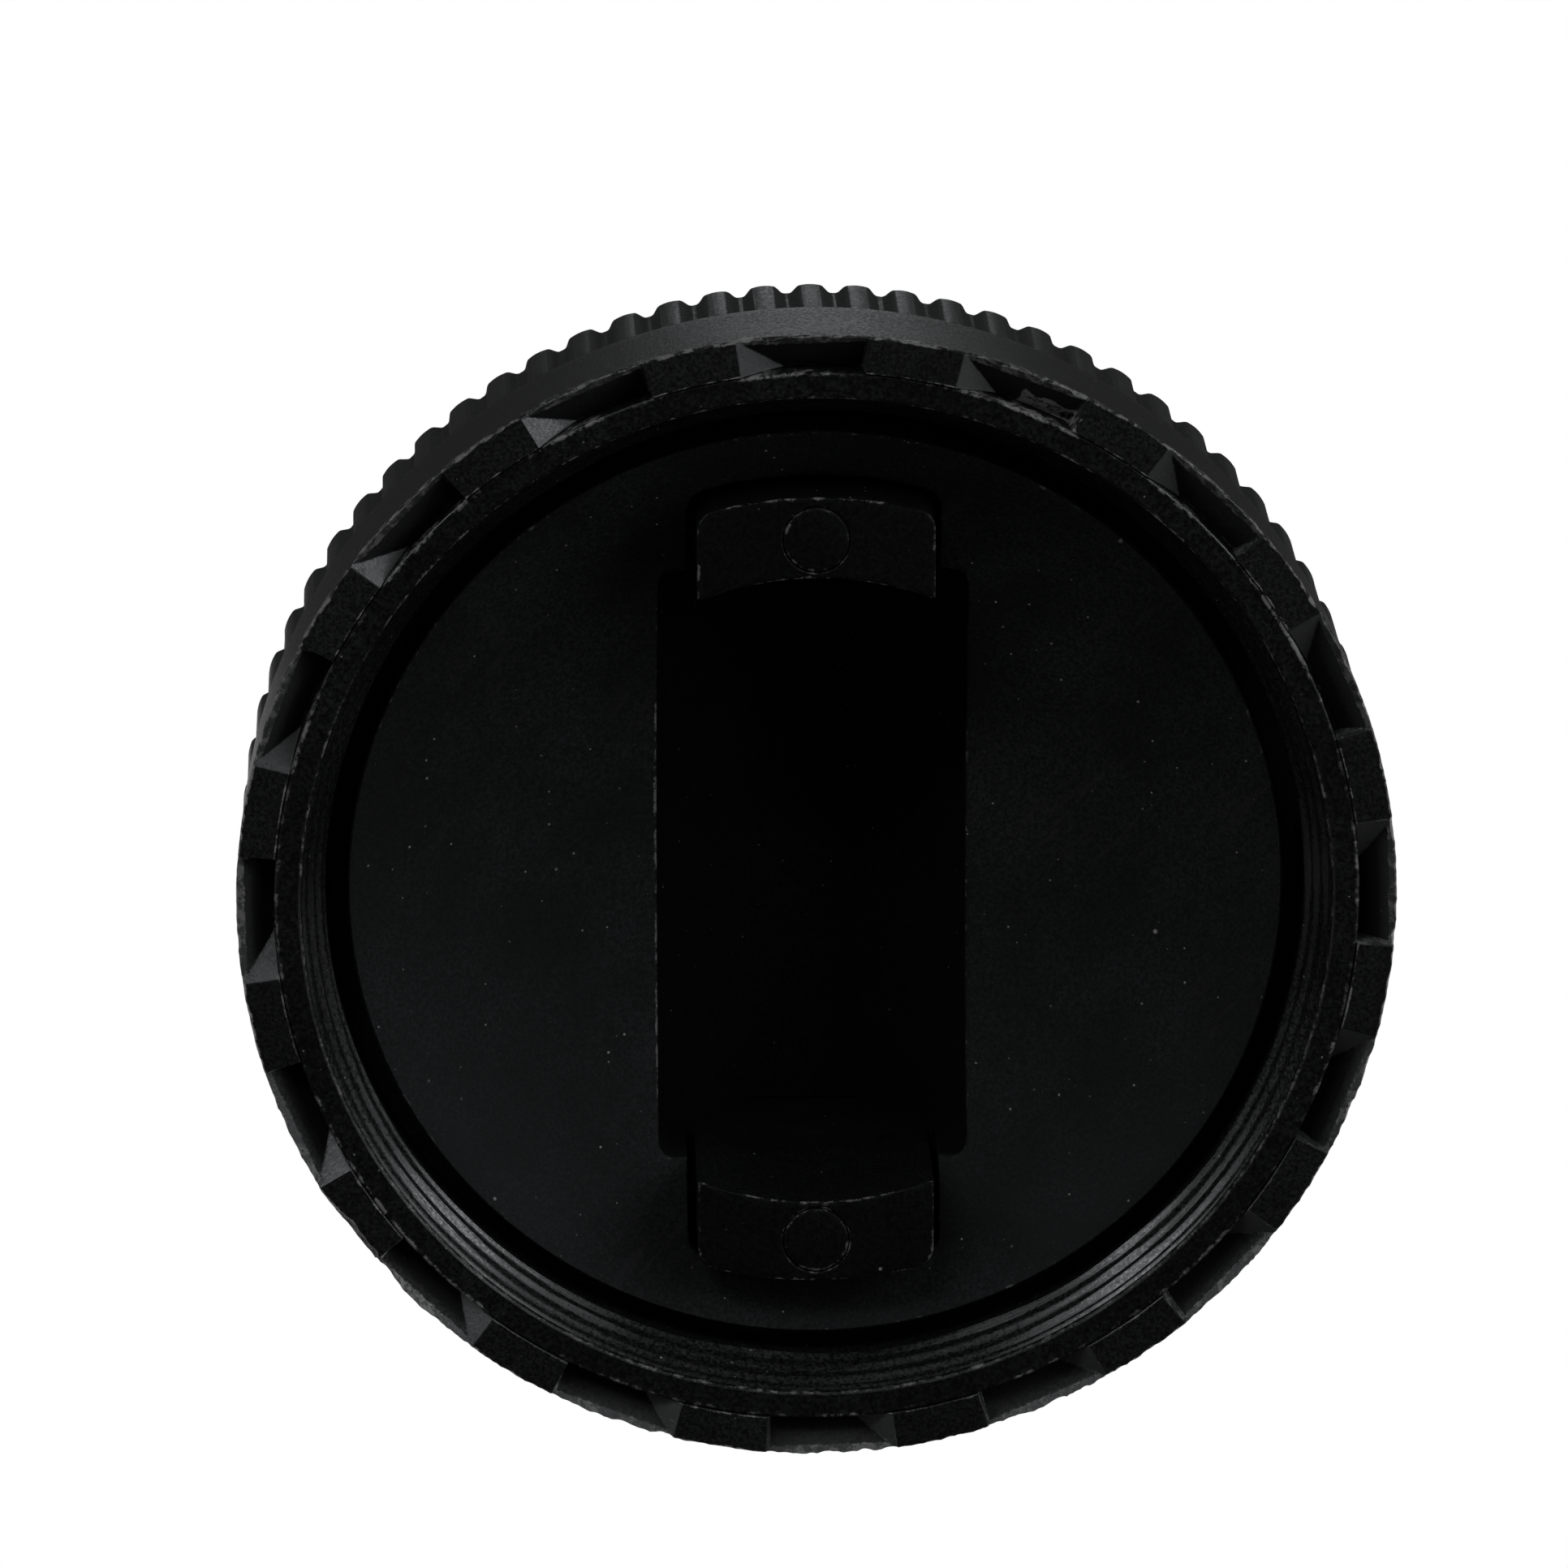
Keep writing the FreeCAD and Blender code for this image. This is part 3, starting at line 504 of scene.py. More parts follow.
def edge_rubbing_and_highlight(angle):
    """Extra pale patches on the sleeve's outer edge: a painted highlight beside the ramps, and wear at a
    few rubbed places.
    """
    nearest = min(abs(angle - middle) for middle in RUBBED_AT)
    ramp_side_highlight = RAMP_SIDE_HIGHLIGHT if in_pocket(angle) < 2 * RAMP_ANGLE else 0.0
    return RUBBED_WEAR * max(0.0, 1 - nearest / RUBBED_REACH) + ramp_side_highlight


def sleeve_profile(angle):
    """Rows from the back over the rounded edge and the face into the bore."""
    chipped = CHIPPED_FROM < angle < CHIPPED_TO
    nick = (SLEEVE_CHIP if chipped else SLEEVE_NICK) * abs(rough(angle, 0, scale=1.9, seed=8))
    pale_edges = SLEEVE_EDGE_WEAR + edge_rubbing_and_highlight(angle) + (CHIPPED_WEAR if chipped else 0.0)
    relieved_r = SLEEVE_R - SLEEVE_RELIEF
    outer_r = relieved_r - nick
    rows = [(NECK_THREAD_R, RING_BACK, 0), (SLEEVE_R, RING_BACK, 0),
            (SLEEVE_R, SLEEVE_PRESSED_FRONT, 0), (relieved_r, SLEEVE_RELIEVED_BACK, 0.1)]
    for lean in map(math.radians, range(0, 91, 15)):
        rows.append((outer_r - SLEEVE_EDGE * (1 - math.cos(lean)),
                     SLEEVE_FRONT + SLEEVE_EDGE * (1 - math.sin(lean)), pale_edges))
    face_r = SLEEVE_R - 3 * EDGE
    inner_r = SLEEVE_BORE_R + 2 * EDGE
    for step in range(9):
        share = step / 8
        radius = face_r + (inner_r - face_r) * share
        dip = SLEEVE_FACE_DIP * (1 + rough(angle, radius, scale=0.8, seed=11))
        rows.append((radius, SLEEVE_FRONT + dip, 0.1 if 0 < step < 8 else 0.3))
    rows.append((SLEEVE_BORE_R + EDGE / 2, SLEEVE_FRONT + EDGE, 0.7))
    rows.append((SLEEVE_BORE_R, SLEEVE_FRONT + 3 * EDGE, 0.5))
    for depth in spread(LEAD_IN, UNDERCUT_FRONT, BORE_ROW):
        rows.append((bore_radius(angle, depth), depth, 0.0))
    rows += [(UNDERCUT_R, UNDERCUT_BACK - EDGE, 0), (NECK_THREAD_R, UNDERCUT_BACK, 0)]
    return rows


# Dial

def rounded_box(across, along, half_width, length, corner):
    """True inside a box in two measures, with its far corners rounded."""
    over_width = max(across - (half_width - corner), 0.0)
    over_length = max(along - (length - corner), 0.0)
    return math.hypot(over_width, over_length) <= corner


def inside_slot(x, z):
    """True inside the slot's outline: a rectangle with an arc-ended tab above and below."""
    in_middle = rounded_box(abs(x), abs(z), SLOT_HALF_WIDTH, SLOT_HALF_LENGTH, SLOT_CORNER_R)
    in_tab = rounded_box(abs(x), math.hypot(x, z), TAB_HALF_WIDTH, TAB_R, SLOT_CORNER_R)
    return in_middle or in_tab


def inside_shoe(x, z):
    """True inside a shoe's outline, between two arcs about the axis."""
    radius = math.hypot(x, z)
    in_arc = rounded_box(abs(x), radius, SHOE_HALF_WIDTH, SHOE_OUTER_R, SHOE_CORNER_R)
    return in_arc and radius >= SHOE_INNER_R


def dish(radius):
    """Depth of the dial's spherical face."""
    return DISH_DEPTH - DISH_SPHERE_R + math.sqrt(DISH_SPHERE_R ** 2 - radius ** 2)


def trough(x):
    """Depth of the slot's floor across its width."""
    up_slope = max(0.0, abs(x) - SLOT_FLOOR_HALF_WIDTH) / (SLOT_HALF_WIDTH - SLOT_FLOOR_HALF_WIDTH)
    return SLOT_FLOOR + (SLOT_WALL_BACK - SLOT_FLOOR) * min(1.0, up_slope)


def dial_profile(angle):
    """Rows from the slot's floor over the dish to the hub's back."""
    side = abs(math.sin(math.radians(angle)))
    along = abs(math.cos(math.radians(angle)))
    opening = reach(inside_slot, angle)
    step_r = min(opening, SLOT_HALF_LENGTH / max(along, 0.001))
    crease_r = min(SLOT_FLOOR_HALF_WIDTH / max(side, 0.001), 0.97 * step_r)
    # The slot's rows carry minus one: painted shade, near black and matt, over the slot's floor and walls
    rows = [(0, SLOT_FLOOR, 0, -1)]
    for radius in (crease_r * 0.5, crease_r * 0.98, crease_r * 1.02, (crease_r + step_r) / 2):
        rows.append((radius, trough(radius * side), 0, -1))
    wall_back = TAB_FLOOR if opening > step_r + EDGE else trough(step_r * side)
    rows.append((step_r, trough(step_r * side), 0, -1))
    rows.append((step_r, wall_back, 0.2, -1))
    rows.append((opening, wall_back, 0, -1))
    chafed = SLOT_CHAFING if SLOT_CHAFED_FROM < angle < SLOT_CHAFED_TO else 0.0
    on_side = along < SLOT_SIDES_END
    ragged = SLOT_RAGGED * abs(rough(angle, 0, scale=1.5, seed=21)) if on_side else 0.0
    ragged += chafed * SLOT_CHAFED_RAGGED * abs(rough(angle, 0, scale=2.5, seed=23))
    rows.append((opening, dish(opening) + 4 * EDGE, 0.2, -1))
    rows.append((opening + EDGE / 4, dish(opening) + EDGE + ragged, 0.6 + chafed))
    rows.append((opening + EDGE + ragged, dish(opening + EDGE) + EDGE / 5, 0.5 + chafed))
    rows.append((opening + 3 * EDGE, dish(opening + 3 * EDGE), 0.1))
    start = opening + 4 * EDGE
    end = DIAL_R - 4 * EDGE
    for step in range(17):
        radius = start + (end - start) * step / 16
        rows.append((radius, dish(radius), 0))
    rows.append((DIAL_R - EDGE, dish(DIAL_R - EDGE) + EDGE / 2, 0.5))
    rows.append((DIAL_R, DIAL_EDGE + 2 * EDGE, 0.4))
    rows += [(DIAL_R, DIAL_SKIRT_BACK, 0), (HUB_R, DIAL_SKIRT_BACK, 0), (HUB_R, SEAL_GROOVE_FRONT, 0),
             (SEAL_GROOVE_R, SEAL_GROOVE_FRONT, 0), (SEAL_GROOVE_R, SEAL_GROOVE_BACK, 0),
             (HUB_R, SEAL_GROOVE_BACK, 0), (HUB_R, HUB_BACK, 0), (CORE_R, HUB_BACK, 0),
             (CORE_R, DIAL_BACK, 0), (0, DIAL_BACK, 0)]
    return rows


def dial_columns():
    """Even angles, closer together where the slot's tabs begin."""
    ledge_corner = math.degrees(math.atan2(TAB_HALF_WIDTH, SLOT_HALF_LENGTH))
    angles = spread(0, 360, 0.5)
    for corner in (ledge_corner, 180 - ledge_corner, 180 + ledge_corner, 360 - ledge_corner):
        angles += spread(corner - 5, corner + 5, 0.2)
    return sorted_angles(angles)


def shoe_profile(angle, side):
    """Rows from the pin hole's back edge over the front face to the foot of the outer wall."""
    centre = (0, side * PIN_CIRCLE_R)
    outline = reach(inside_shoe, angle, centre)
    to_axis = abs((angle - (180 if side > 0 else 0) + 180) % 360 - 180)
    parting = PARTING_LINE if to_axis < PARTING_ANGLE else 0.0
    pale_edges = 0.75 + 0.25 * rough(angle, 0, scale=0.6, seed=30 + side)
    hole_r = PIN_R + EDGE / 5
    return [(hole_r, TAB_FLOOR, 0), (hole_r, SHOE_FRONT + 2 * EDGE, 0.2),
            (hole_r + EDGE / 2, SHOE_FRONT + EDGE / 4, 0.9), (hole_r + EDGE, SHOE_FRONT, 0.5),
            (hole_r + 2 * EDGE, SHOE_FRONT, 0.1),
            ((hole_r + outline) / 2, SHOE_FRONT + SHOE_FACE_SINK, 0), (outline - 3 * EDGE, SHOE_FRONT, 0.1),
            (outline - EDGE, SHOE_FRONT + EDGE / 3, pale_edges),
            (outline - EDGE / 4, SHOE_FRONT + EDGE, 1.0), (outline, SHOE_FRONT + 3 * EDGE, 0.3),
            (outline + parting, SHOE_FRONT + 5 * EDGE, 0.1),
            (outline + parting, TAB_FLOOR - SHOE_STEP, 0.05),
            (outline + EDGE / 5, TAB_FLOOR - SHOE_STEP + EDGE, 0.3),
            (outline, TAB_FLOOR, 0)]


def pin_profile(_):
    """Rows of a pin whose worn end shows in its shoe."""
    return [(0, SHOE_FRONT + PIN_FACE_SINK, 0), (PIN_R - 3 * EDGE, SHOE_FRONT + SHOE_FACE_SINK, 0.1),
            (PIN_R - EDGE, SHOE_FRONT + EDGE / 2, 0.9), (PIN_R - EDGE / 5, SHOE_FRONT + EDGE, 0.6),
            (PIN_R - EDGE / 5, PIN_BACK, 0), (0, PIN_BACK, 0)]


def joined(name, parts):
    """One object from several, which are used up."""
    build = bmesh.new()
    for part in parts:
        build.from_mesh(part.data)
    mesh = parts[0].data.copy()
    mesh.name = name
    build.to_mesh(mesh)
    build.free()
    for part in parts:
        bpy.data.objects.remove(part)
    piece = bpy.data.objects.new(name, mesh)
    bpy.context.scene.collection.objects.link(piece)
    return piece


def stud_profile(angle):
    """Rows of a stud's head, its neck and its chamfered screw thread."""
    rows = [(0, STUD_FRONT, 0), (STUD_HEAD_R, STUD_FRONT, 0), (STUD_HEAD_R, STUD_HEAD_BACK, 0),
            (STUD_R, STUD_HEAD_BACK, 0), (STUD_R, STUD_THREAD_FRONT - 2 * EDGE, 0)]
    for depth in spread(STUD_THREAD_FRONT, STUD_BACK - EDGE / 5, STUD_PITCH / 10):
        phase = (depth / STUD_PITCH - angle / 360) % 1
        groove = max(0.0, 1 - abs(phase - 0.5) * 2 - STUD_CREST_SHARE)
        chamfer = max(0.0, depth - STUD_BACK + STUD_CHAMFER)
        radius = min(STUD_R - STUD_THREAD_DEPTH * groove, STUD_R - chamfer)
        rows.append((radius, depth, 1 - groove))
    rows.append((STUD_R - STUD_TIP_INSET, STUD_BACK, 0.3))
    rows.append((0, STUD_BACK, 0))
    return rows


# Materials. Scales are per millimetre, and colours are shares of the light sent back

BEVEL_SAMPLES = 4
PLASTIC_IOR = 1.48
PLASTIC_RELIEF = 0.02
METAL_RELIEF = 0.012
DUST_COLOUR = (0.618, 0.6, 0.582, 1)
HAZE_COLOUR = (0.05, 0.047, 0.054, 1)


def add(tree, kind, values=None, output=0, **settings):
    """New shader node with its settings and inputs; gives one of its outputs."""
    made = tree.nodes.new("ShaderNode" + kind)
    for name, value in settings.items():
        setattr(made, name, value)
    for key, value in (values or {}).items():
        if isinstance(value, bpy.types.NodeSocket):
            tree.links.new(value, made.inputs[key])
        else:
            made.inputs[key].default_value = value
    return made.outputs[output]


def maths(tree, operation, first, second=0.0, clamp=False):
    """One arithmetic step on two numbers or sockets."""
    return add(tree, "Math", {0: first, 1: second}, operation=operation, use_clamp=clamp)


def fade(tree, value, low, high, result_low=0.0, result_high=1.0):
    """Smooth step of a value from low to high."""
    return add(tree, "MapRange", {"Value": value, "From Min": low, "From Max": high,
                                  "To Min": result_low, "To Max": result_high},
               interpolation_type="SMOOTHSTEP")


def blend_colours(tree, share, first, second):
    """First colour at share 0, second at share 1."""
    return add(tree, "Mix", {0: share, 6: first, 7: second}, output=2, data_type="RGBA")


def grey(level, warmth=0.0):
    """Grey of a level, leaning to red if warmth is positive and to blue if not."""
    return (level * (1 + warmth), level, level * (1 - warmth), 1)


def new_material(name):
    """New material, with its node tree and its shader."""
    material = bpy.data.materials.new(name)
    material.use_nodes = True
    return material, material.node_tree, material.node_tree.nodes["Principled BSDF"]


def millimetres(tree):
    """Object position in millimetres."""
    position = add(tree, "TexCoord", output=3)
    return add(tree, "VectorMath", {0: position, "Scale": 1 / MM}, operation="SCALE")


def from_axis(tree, position):
    """Distance of a position from the switch axis."""
    flat = add(tree, "VectorMath", {0: position, 1: (1, 0, 1)}, operation="MULTIPLY")
    return add(tree, "VectorMath", {0: flat}, output=1, operation="LENGTH")


def noise_at(tree, position, scale, detail=2.0, roughness=0.5):
    """Cloudy value between 0 and 1 at a position."""
    return add(tree, "TexNoise", {"Vector": position, "Scale": scale, "Detail": detail,
                                  "Roughness": roughness})


def specks(tree, position, cell, size, share):
    """Scattered dots: a share of the cells of a grid of random points has one."""
    cells = tree.nodes.new("ShaderNodeTexVoronoi")
    tree.links.new(position, cells.inputs["Vector"])
    cells.inputs["Scale"].default_value = 1 / cell
    pick = tree.nodes.new("ShaderNodeSeparateColor")
    tree.links.new(cells.outputs["Color"], pick.inputs[0])
    chosen = maths(tree, "LESS_THAN", pick.outputs[0], share)
    grown = fade(tree, pick.outputs[1], 0, 1, 0.4, 1.4)
    distance = maths(tree, "DIVIDE", cells.outputs["Distance"], grown)
    near = fade(tree, distance, size / cell, 0.4 * size / cell)
    bright = fade(tree, pick.outputs[2], 0, 1, 0.15, 1.0)
    return maths(tree, "MULTIPLY", maths(tree, "MULTIPLY", chosen, near), bright)


def scratches(tree, position, turn, spacing, width, cover):
    """Fine straight marks that run one way, broken into short lengths."""
    turned = add(tree, "Mapping", {"Vector": position, "Rotation": (0, math.radians(turn), 0),
                                   "Scale": (1 / spacing, 0.3 / spacing, 0.04 / spacing)})
    line = add(tree, "TexVoronoi", {"Vector": turned, "Scale": 1.0}, feature="DISTANCE_TO_EDGE")
    thin = fade(tree, line, width / spacing, 0.2 * width / spacing)
    where = fade(tree, noise_at(tree, position, 0.16, 3), 1 - cover, 1.1 - cover)
    return maths(tree, "MULTIPLY", thin, where)


def swirls(tree, position):
    """Cloudy marks of a wiping cloth, drawn out along a slant."""
    drawn = add(tree, "Mapping", {"Vector": position, "Rotation": (0, math.radians(-48), 0),
                                  "Scale": (5.5, 5.5, 0.7)}, vector_type="TEXTURE")
    wiped = add(tree, "TexNoise", {"Vector": drawn, "Scale": 1.0, "Detail": 5.0, "Roughness": 0.7,
                                   "Distortion": 0.8})
    return maths(tree, "MULTIPLY", fade(tree, wiped, 0.48, 0.72),
                 fade(tree, noise_at(tree, position, 0.09, 2), 0.48, 0.66))


def edge_mask(tree, bevel):
    """One along the edges of a CAD piece, where the bevelled normal leaves the true one."""
    true_normal = add(tree, "NewGeometry", output=1)
    along = add(tree, "VectorMath", {0: bevel, 1: true_normal}, output=1, operation="DOT_PRODUCT")
    return fade(tree, along, 0.98, 0.8)


def film_cover(tree, position, mottle):
    """Where a dusty film lies: in clouds, broken up by the surface's mottle."""
    cloud = fade(tree, noise_at(tree, position, 0.11, 4, 0.6), 0.3, 0.7, 0.3, 1.0)
    return maths(tree, "MULTIPLY", cloud, fade(tree, mottle, 0.35, 0.7))


def dust_dots(tree, position, share):
    """Small and larger grains of dust."""
    small = specks(tree, position, 0.5, 0.07, share)
    large = specks(tree, position, 1.3, 0.13, share * 0.6)
    return maths(tree, "ADD", small, large, clamp=True)


def worn_and_highlit_places(tree, position, edges, wear_and_highlight):
    """Where edges are rubbed pale, and where the mesh paints highlights with the same value, in patches of
    two sizes.
    """
    fine = fade(tree, noise_at(tree, position, 1.2, 7, 0.75), 0.35, 0.7)
    coarse = fade(tree, noise_at(tree, position, 0.35, 3, 0.6), 0.3, 0.65, 0.45, 1.0)
    patchy = maths(tree, "MULTIPLY", fine, coarse)
    return fade(tree, maths(tree, "MULTIPLY", edges, patchy), 1 - wear_and_highlight, 1.35 - wear_and_highlight)


def raised(tree, height, relief, amount):
    """Height with an amount of another relief on top."""
    return maths(tree, "ADD", height, maths(tree, "MULTIPLY", relief, amount))


def scratched(tree, position, tone, cover):
    """Tone with fine grey scratches that run two ways."""
    marks = maths(tree, "ADD", scratches(tree, position, 62, 5.0, 0.05, cover),
                  scratches(tree, position, -31, 7.5, 0.05, cover), clamp=True)
    return blend_colours(tree, maths(tree, "MULTIPLY", marks, 0.5), tone, grey(0.03))


def threaded(tree, position, height, pitch):
    """Height with a screw thread's ridges where the surface is the barrel's."""
    on_barrel = maths(tree, "COMPARE", from_axis(tree, position), BARREL_R)
    on_barrel.node.inputs[2].default_value = BARREL_THREAD_REACH
    thread = maths(tree, "MULTIPLY", helix_lines(tree, position, pitch), BARREL_THREAD_RIDGE)
    return raised(tree, height, thread, on_barrel)


def plastic_height(tree, position, pale_and_highlit, pale_edges, grain, lines, streaks, thread_pitch):
    """Relief of a moulded surface: grain, worn places, then tool lines, a thread or streaks."""
    height = maths(tree, "MULTIPLY", noise_at(tree, position, 3.6, 5, 0.8),
                   fade(tree, pale_and_highlit, 0, 1, grain, 0.3 * grain))
    height = raised(tree, height, pale_edges, 0.8)
    if lines:
        height = raised(tree, height, turned_lines(tree, position), lines)
    if thread_pitch:
        height = threaded(tree, position, height, thread_pitch)
    if streaks:
        drawn = add(tree, "VectorMath", {0: position, 1: (5, 0.25, 5)}, operation="MULTIPLY")
        height = raised(tree, height, noise_at(tree, drawn, 1, 2), streaks)
    return height


def plastic(name, colour=0.006, roughness=0.5, grain=0.5, film=0.02, dust=0.03, scratch=0.0,
            wear_and_highlight=0.6, worn_colour=0.05, edge_radius=0.0, lines=0.0, streaks=0.0, haze=0.0,
            specular=0.5, thread_pitch=0.0):
    """Black moulded plastic: spark grain, a dusty film, specks, scratches, pale worn edges, and painted
    highlights and painted shade that the mesh's attributes carry.

    Edges come from the mesh's own wear_and_highlight attribute, which also carries painted highlights, or
    from a bevel where edge_radius is given.
    """
    material, tree, shader = new_material(name)
    position = millimetres(tree)
    mottle = noise_at(tree, position, 4.5, 6, 0.7)
    dusty = film_cover(tree, position, mottle)
    if edge_radius:
        normal = add(tree, "Bevel", {"Radius": edge_radius * MM}, samples=BEVEL_SAMPLES)
        edges = edge_mask(tree, normal)
    else:
        normal = None
        edges = add(tree, "Attribute", output=2, attribute_name="wear_and_highlight")
    pale_edges = worn_and_highlit_places(tree, position, edges, wear_and_highlight)
    pale_and_painted_light = add(tree, "Attribute", output=2, attribute_name="pale_and_painted_light")
    pale_and_highlit = maths(tree, "MAXIMUM", pale_and_painted_light, 0.0)
    # Painted shade: where the paleness attribute is below zero, in the pockets, the slot and the rib
    # flanks, the tone goes near black and the surface matt
    shaded = maths(tree, "MULTIPLY", maths(tree, "MINIMUM", pale_and_painted_light, 0.0), -0.75)

    tone = blend_colours(tree, maths(tree, "MULTIPLY", dusty, 0.8), grey(colour, -0.03),
                         grey(colour + film, -0.04))
    tone = blend_colours(tree, pale_edges, tone, grey(worn_colour, 0.02))
    if scratch:
        tone = scratched(tree, position, tone, scratch)
    tone = blend_colours(tree, dust_dots(tree, position, dust), tone, DUST_COLOUR)
    if haze:
        wiped = maths(tree, "MULTIPLY", swirls(tree, position), haze)
        tone = blend_colours(tree, wiped, tone, HAZE_COLOUR)
    # Chalky tone where the attribute is above zero: handling wear on the crests, painted highlight on the
    # pockets' ramps and end walls, partly both on their lips
    chalk_and_highlight_tone = blend_colours(tree, mottle, grey(0.05), grey(0.15, -0.02))
    tone = blend_colours(tree, pale_and_highlit, tone, chalk_and_highlight_tone)
    # Painted shade, near black, in the pockets, the slot and the rib flanks
    tone = blend_colours(tree, shaded, tone, grey(0.001))
    tree.links.new(tone, shader.inputs["Base Color"])

    gloss = fade(tree, mottle, 0.3, 0.7, roughness - 0.1, roughness + 0.14)
    gloss = maths(tree, "ADD", gloss, maths(tree, "MULTIPLY", dusty, 0.12))
    gloss = maths(tree, "ADD", gloss, maths(tree, "MULTIPLY", shaded, 0.5), clamp=True)
    tree.links.new(gloss, shader.inputs["Roughness"])

    height = plastic_height(tree, position, pale_and_highlit, pale_edges, grain, lines, streaks, thread_pitch)
    bump = {"Height": height, "Strength": 1.0, "Distance": PLASTIC_RELIEF * MM}
    if normal:
        bump["Normal"] = normal
    tree.links.new(add(tree, "Bump", bump), shader.inputs["Normal"])
    shader.inputs["IOR"].default_value = PLASTIC_IOR
    shader.inputs["Specular IOR Level"].default_value = specular
    return material


def turned_lines(tree, position):
    """Fine rings about the axis, as a cutting tool leaves."""
    radius = from_axis(tree, position)
    depth = add(tree, "SeparateXYZ", {0: position}, output=1)
    along = add(tree, "CombineXYZ", {0: maths(tree, "MULTIPLY", radius, 9.0),
                                     1: maths(tree, "MULTIPLY", depth, 9.0)})
    return noise_at(tree, along, 1.0, 4, 0.7)


def helix_lines(tree, position, pitch):
    """Ridges of a screw thread about the axis, from 0 at the root to 1 at the crest."""
    parts = tree.nodes.new("ShaderNodeSeparateXYZ")
    tree.links.new(position, parts.inputs[0])
    turn = maths(tree, "ARCTAN2", parts.outputs[0], parts.outputs[2])
    phase = maths(tree, "SUBTRACT", maths(tree, "DIVIDE", parts.outputs[1], pitch),
                  maths(tree, "DIVIDE", turn, 2 * math.pi))
    return maths(tree, "PINGPONG", phase, 0.5)


def metal(name, colour, tarnish, roughness=0.3, edge_radius=0.12, brushed=0.35):
    """Turned or pressed metal with tool lines, dulled patches and bright edges."""
    material, tree, shader = new_material(name)
    position = millimetres(tree)
    cloud = noise_at(tree, position, 0.5, 5, 0.65)
    spots = specks(tree, position, 0.9, 0.12, 0.06)
    dull = fade(tree, cloud, 0.38, 0.72)
    normal = add(tree, "Bevel", {"Radius": edge_radius * MM}, samples=BEVEL_SAMPLES)
    edges = edge_mask(tree, normal)
    tone = blend_colours(tree, maths(tree, "MULTIPLY", dull, 0.45), (*colour, 1), (*tarnish, 1))
    tone = blend_colours(tree, maths(tree, "MULTIPLY", spots, 0.5), tone, (*tarnish, 1))
    tone = blend_colours(tree, maths(tree, "MULTIPLY", edges, 0.5), tone,
                         tuple(min(1, 1.2 * part) for part in colour) + (1,))
    tree.links.new(tone, shader.inputs["Base Color"])
    shader.inputs["Metallic"].default_value = 1.0
    gloss = fade(tree, cloud, 0.25, 0.75, roughness - 0.08, roughness + 0.16)
    tree.links.new(gloss, shader.inputs["Roughness"])
    height = maths(tree, "MULTIPLY", turned_lines(tree, position), brushed)
    height = raised(tree, height, noise_at(tree, position, 3, 3), 0.4)
    bump = add(tree, "Bump", {"Height": height, "Distance": METAL_RELIEF * MM, "Normal": normal})
    tree.links.new(bump, shader.inputs["Normal"])
    return material


def soft(name, colour, roughness, grain, subsurface=0.0):
    """Rubber or nylon: matt, with a fine grain and a faint mottle."""
    material, tree, shader = new_material(name)
    position = millimetres(tree)
    mottle = noise_at(tree, position, 0.9, 6, 0.7)
    darker = tuple(0.72 * part for part in colour)
    tone = blend_colours(tree, fade(tree, mottle, 0.3, 0.7), (*darker, 1), (*colour, 1))
    tree.links.new(tone, shader.inputs["Base Color"])
    tree.links.new(fade(tree, mottle, 0.2, 0.8, roughness - 0.08, roughness + 0.08),
                   shader.inputs["Roughness"])
    normal = add(tree, "Bevel", {"Radius": EDGE * MM}, samples=BEVEL_SAMPLES)
    bump = add(tree, "Bump", {"Height": noise_at(tree, position, 8, 3, 0.6), "Distance": grain * MM,
                              "Normal": normal})
    tree.links.new(bump, shader.inputs["Normal"])
    shader.inputs["Subsurface Weight"].default_value = subsurface
    shader.inputs["Subsurface Scale"].default_value = MM
    return material


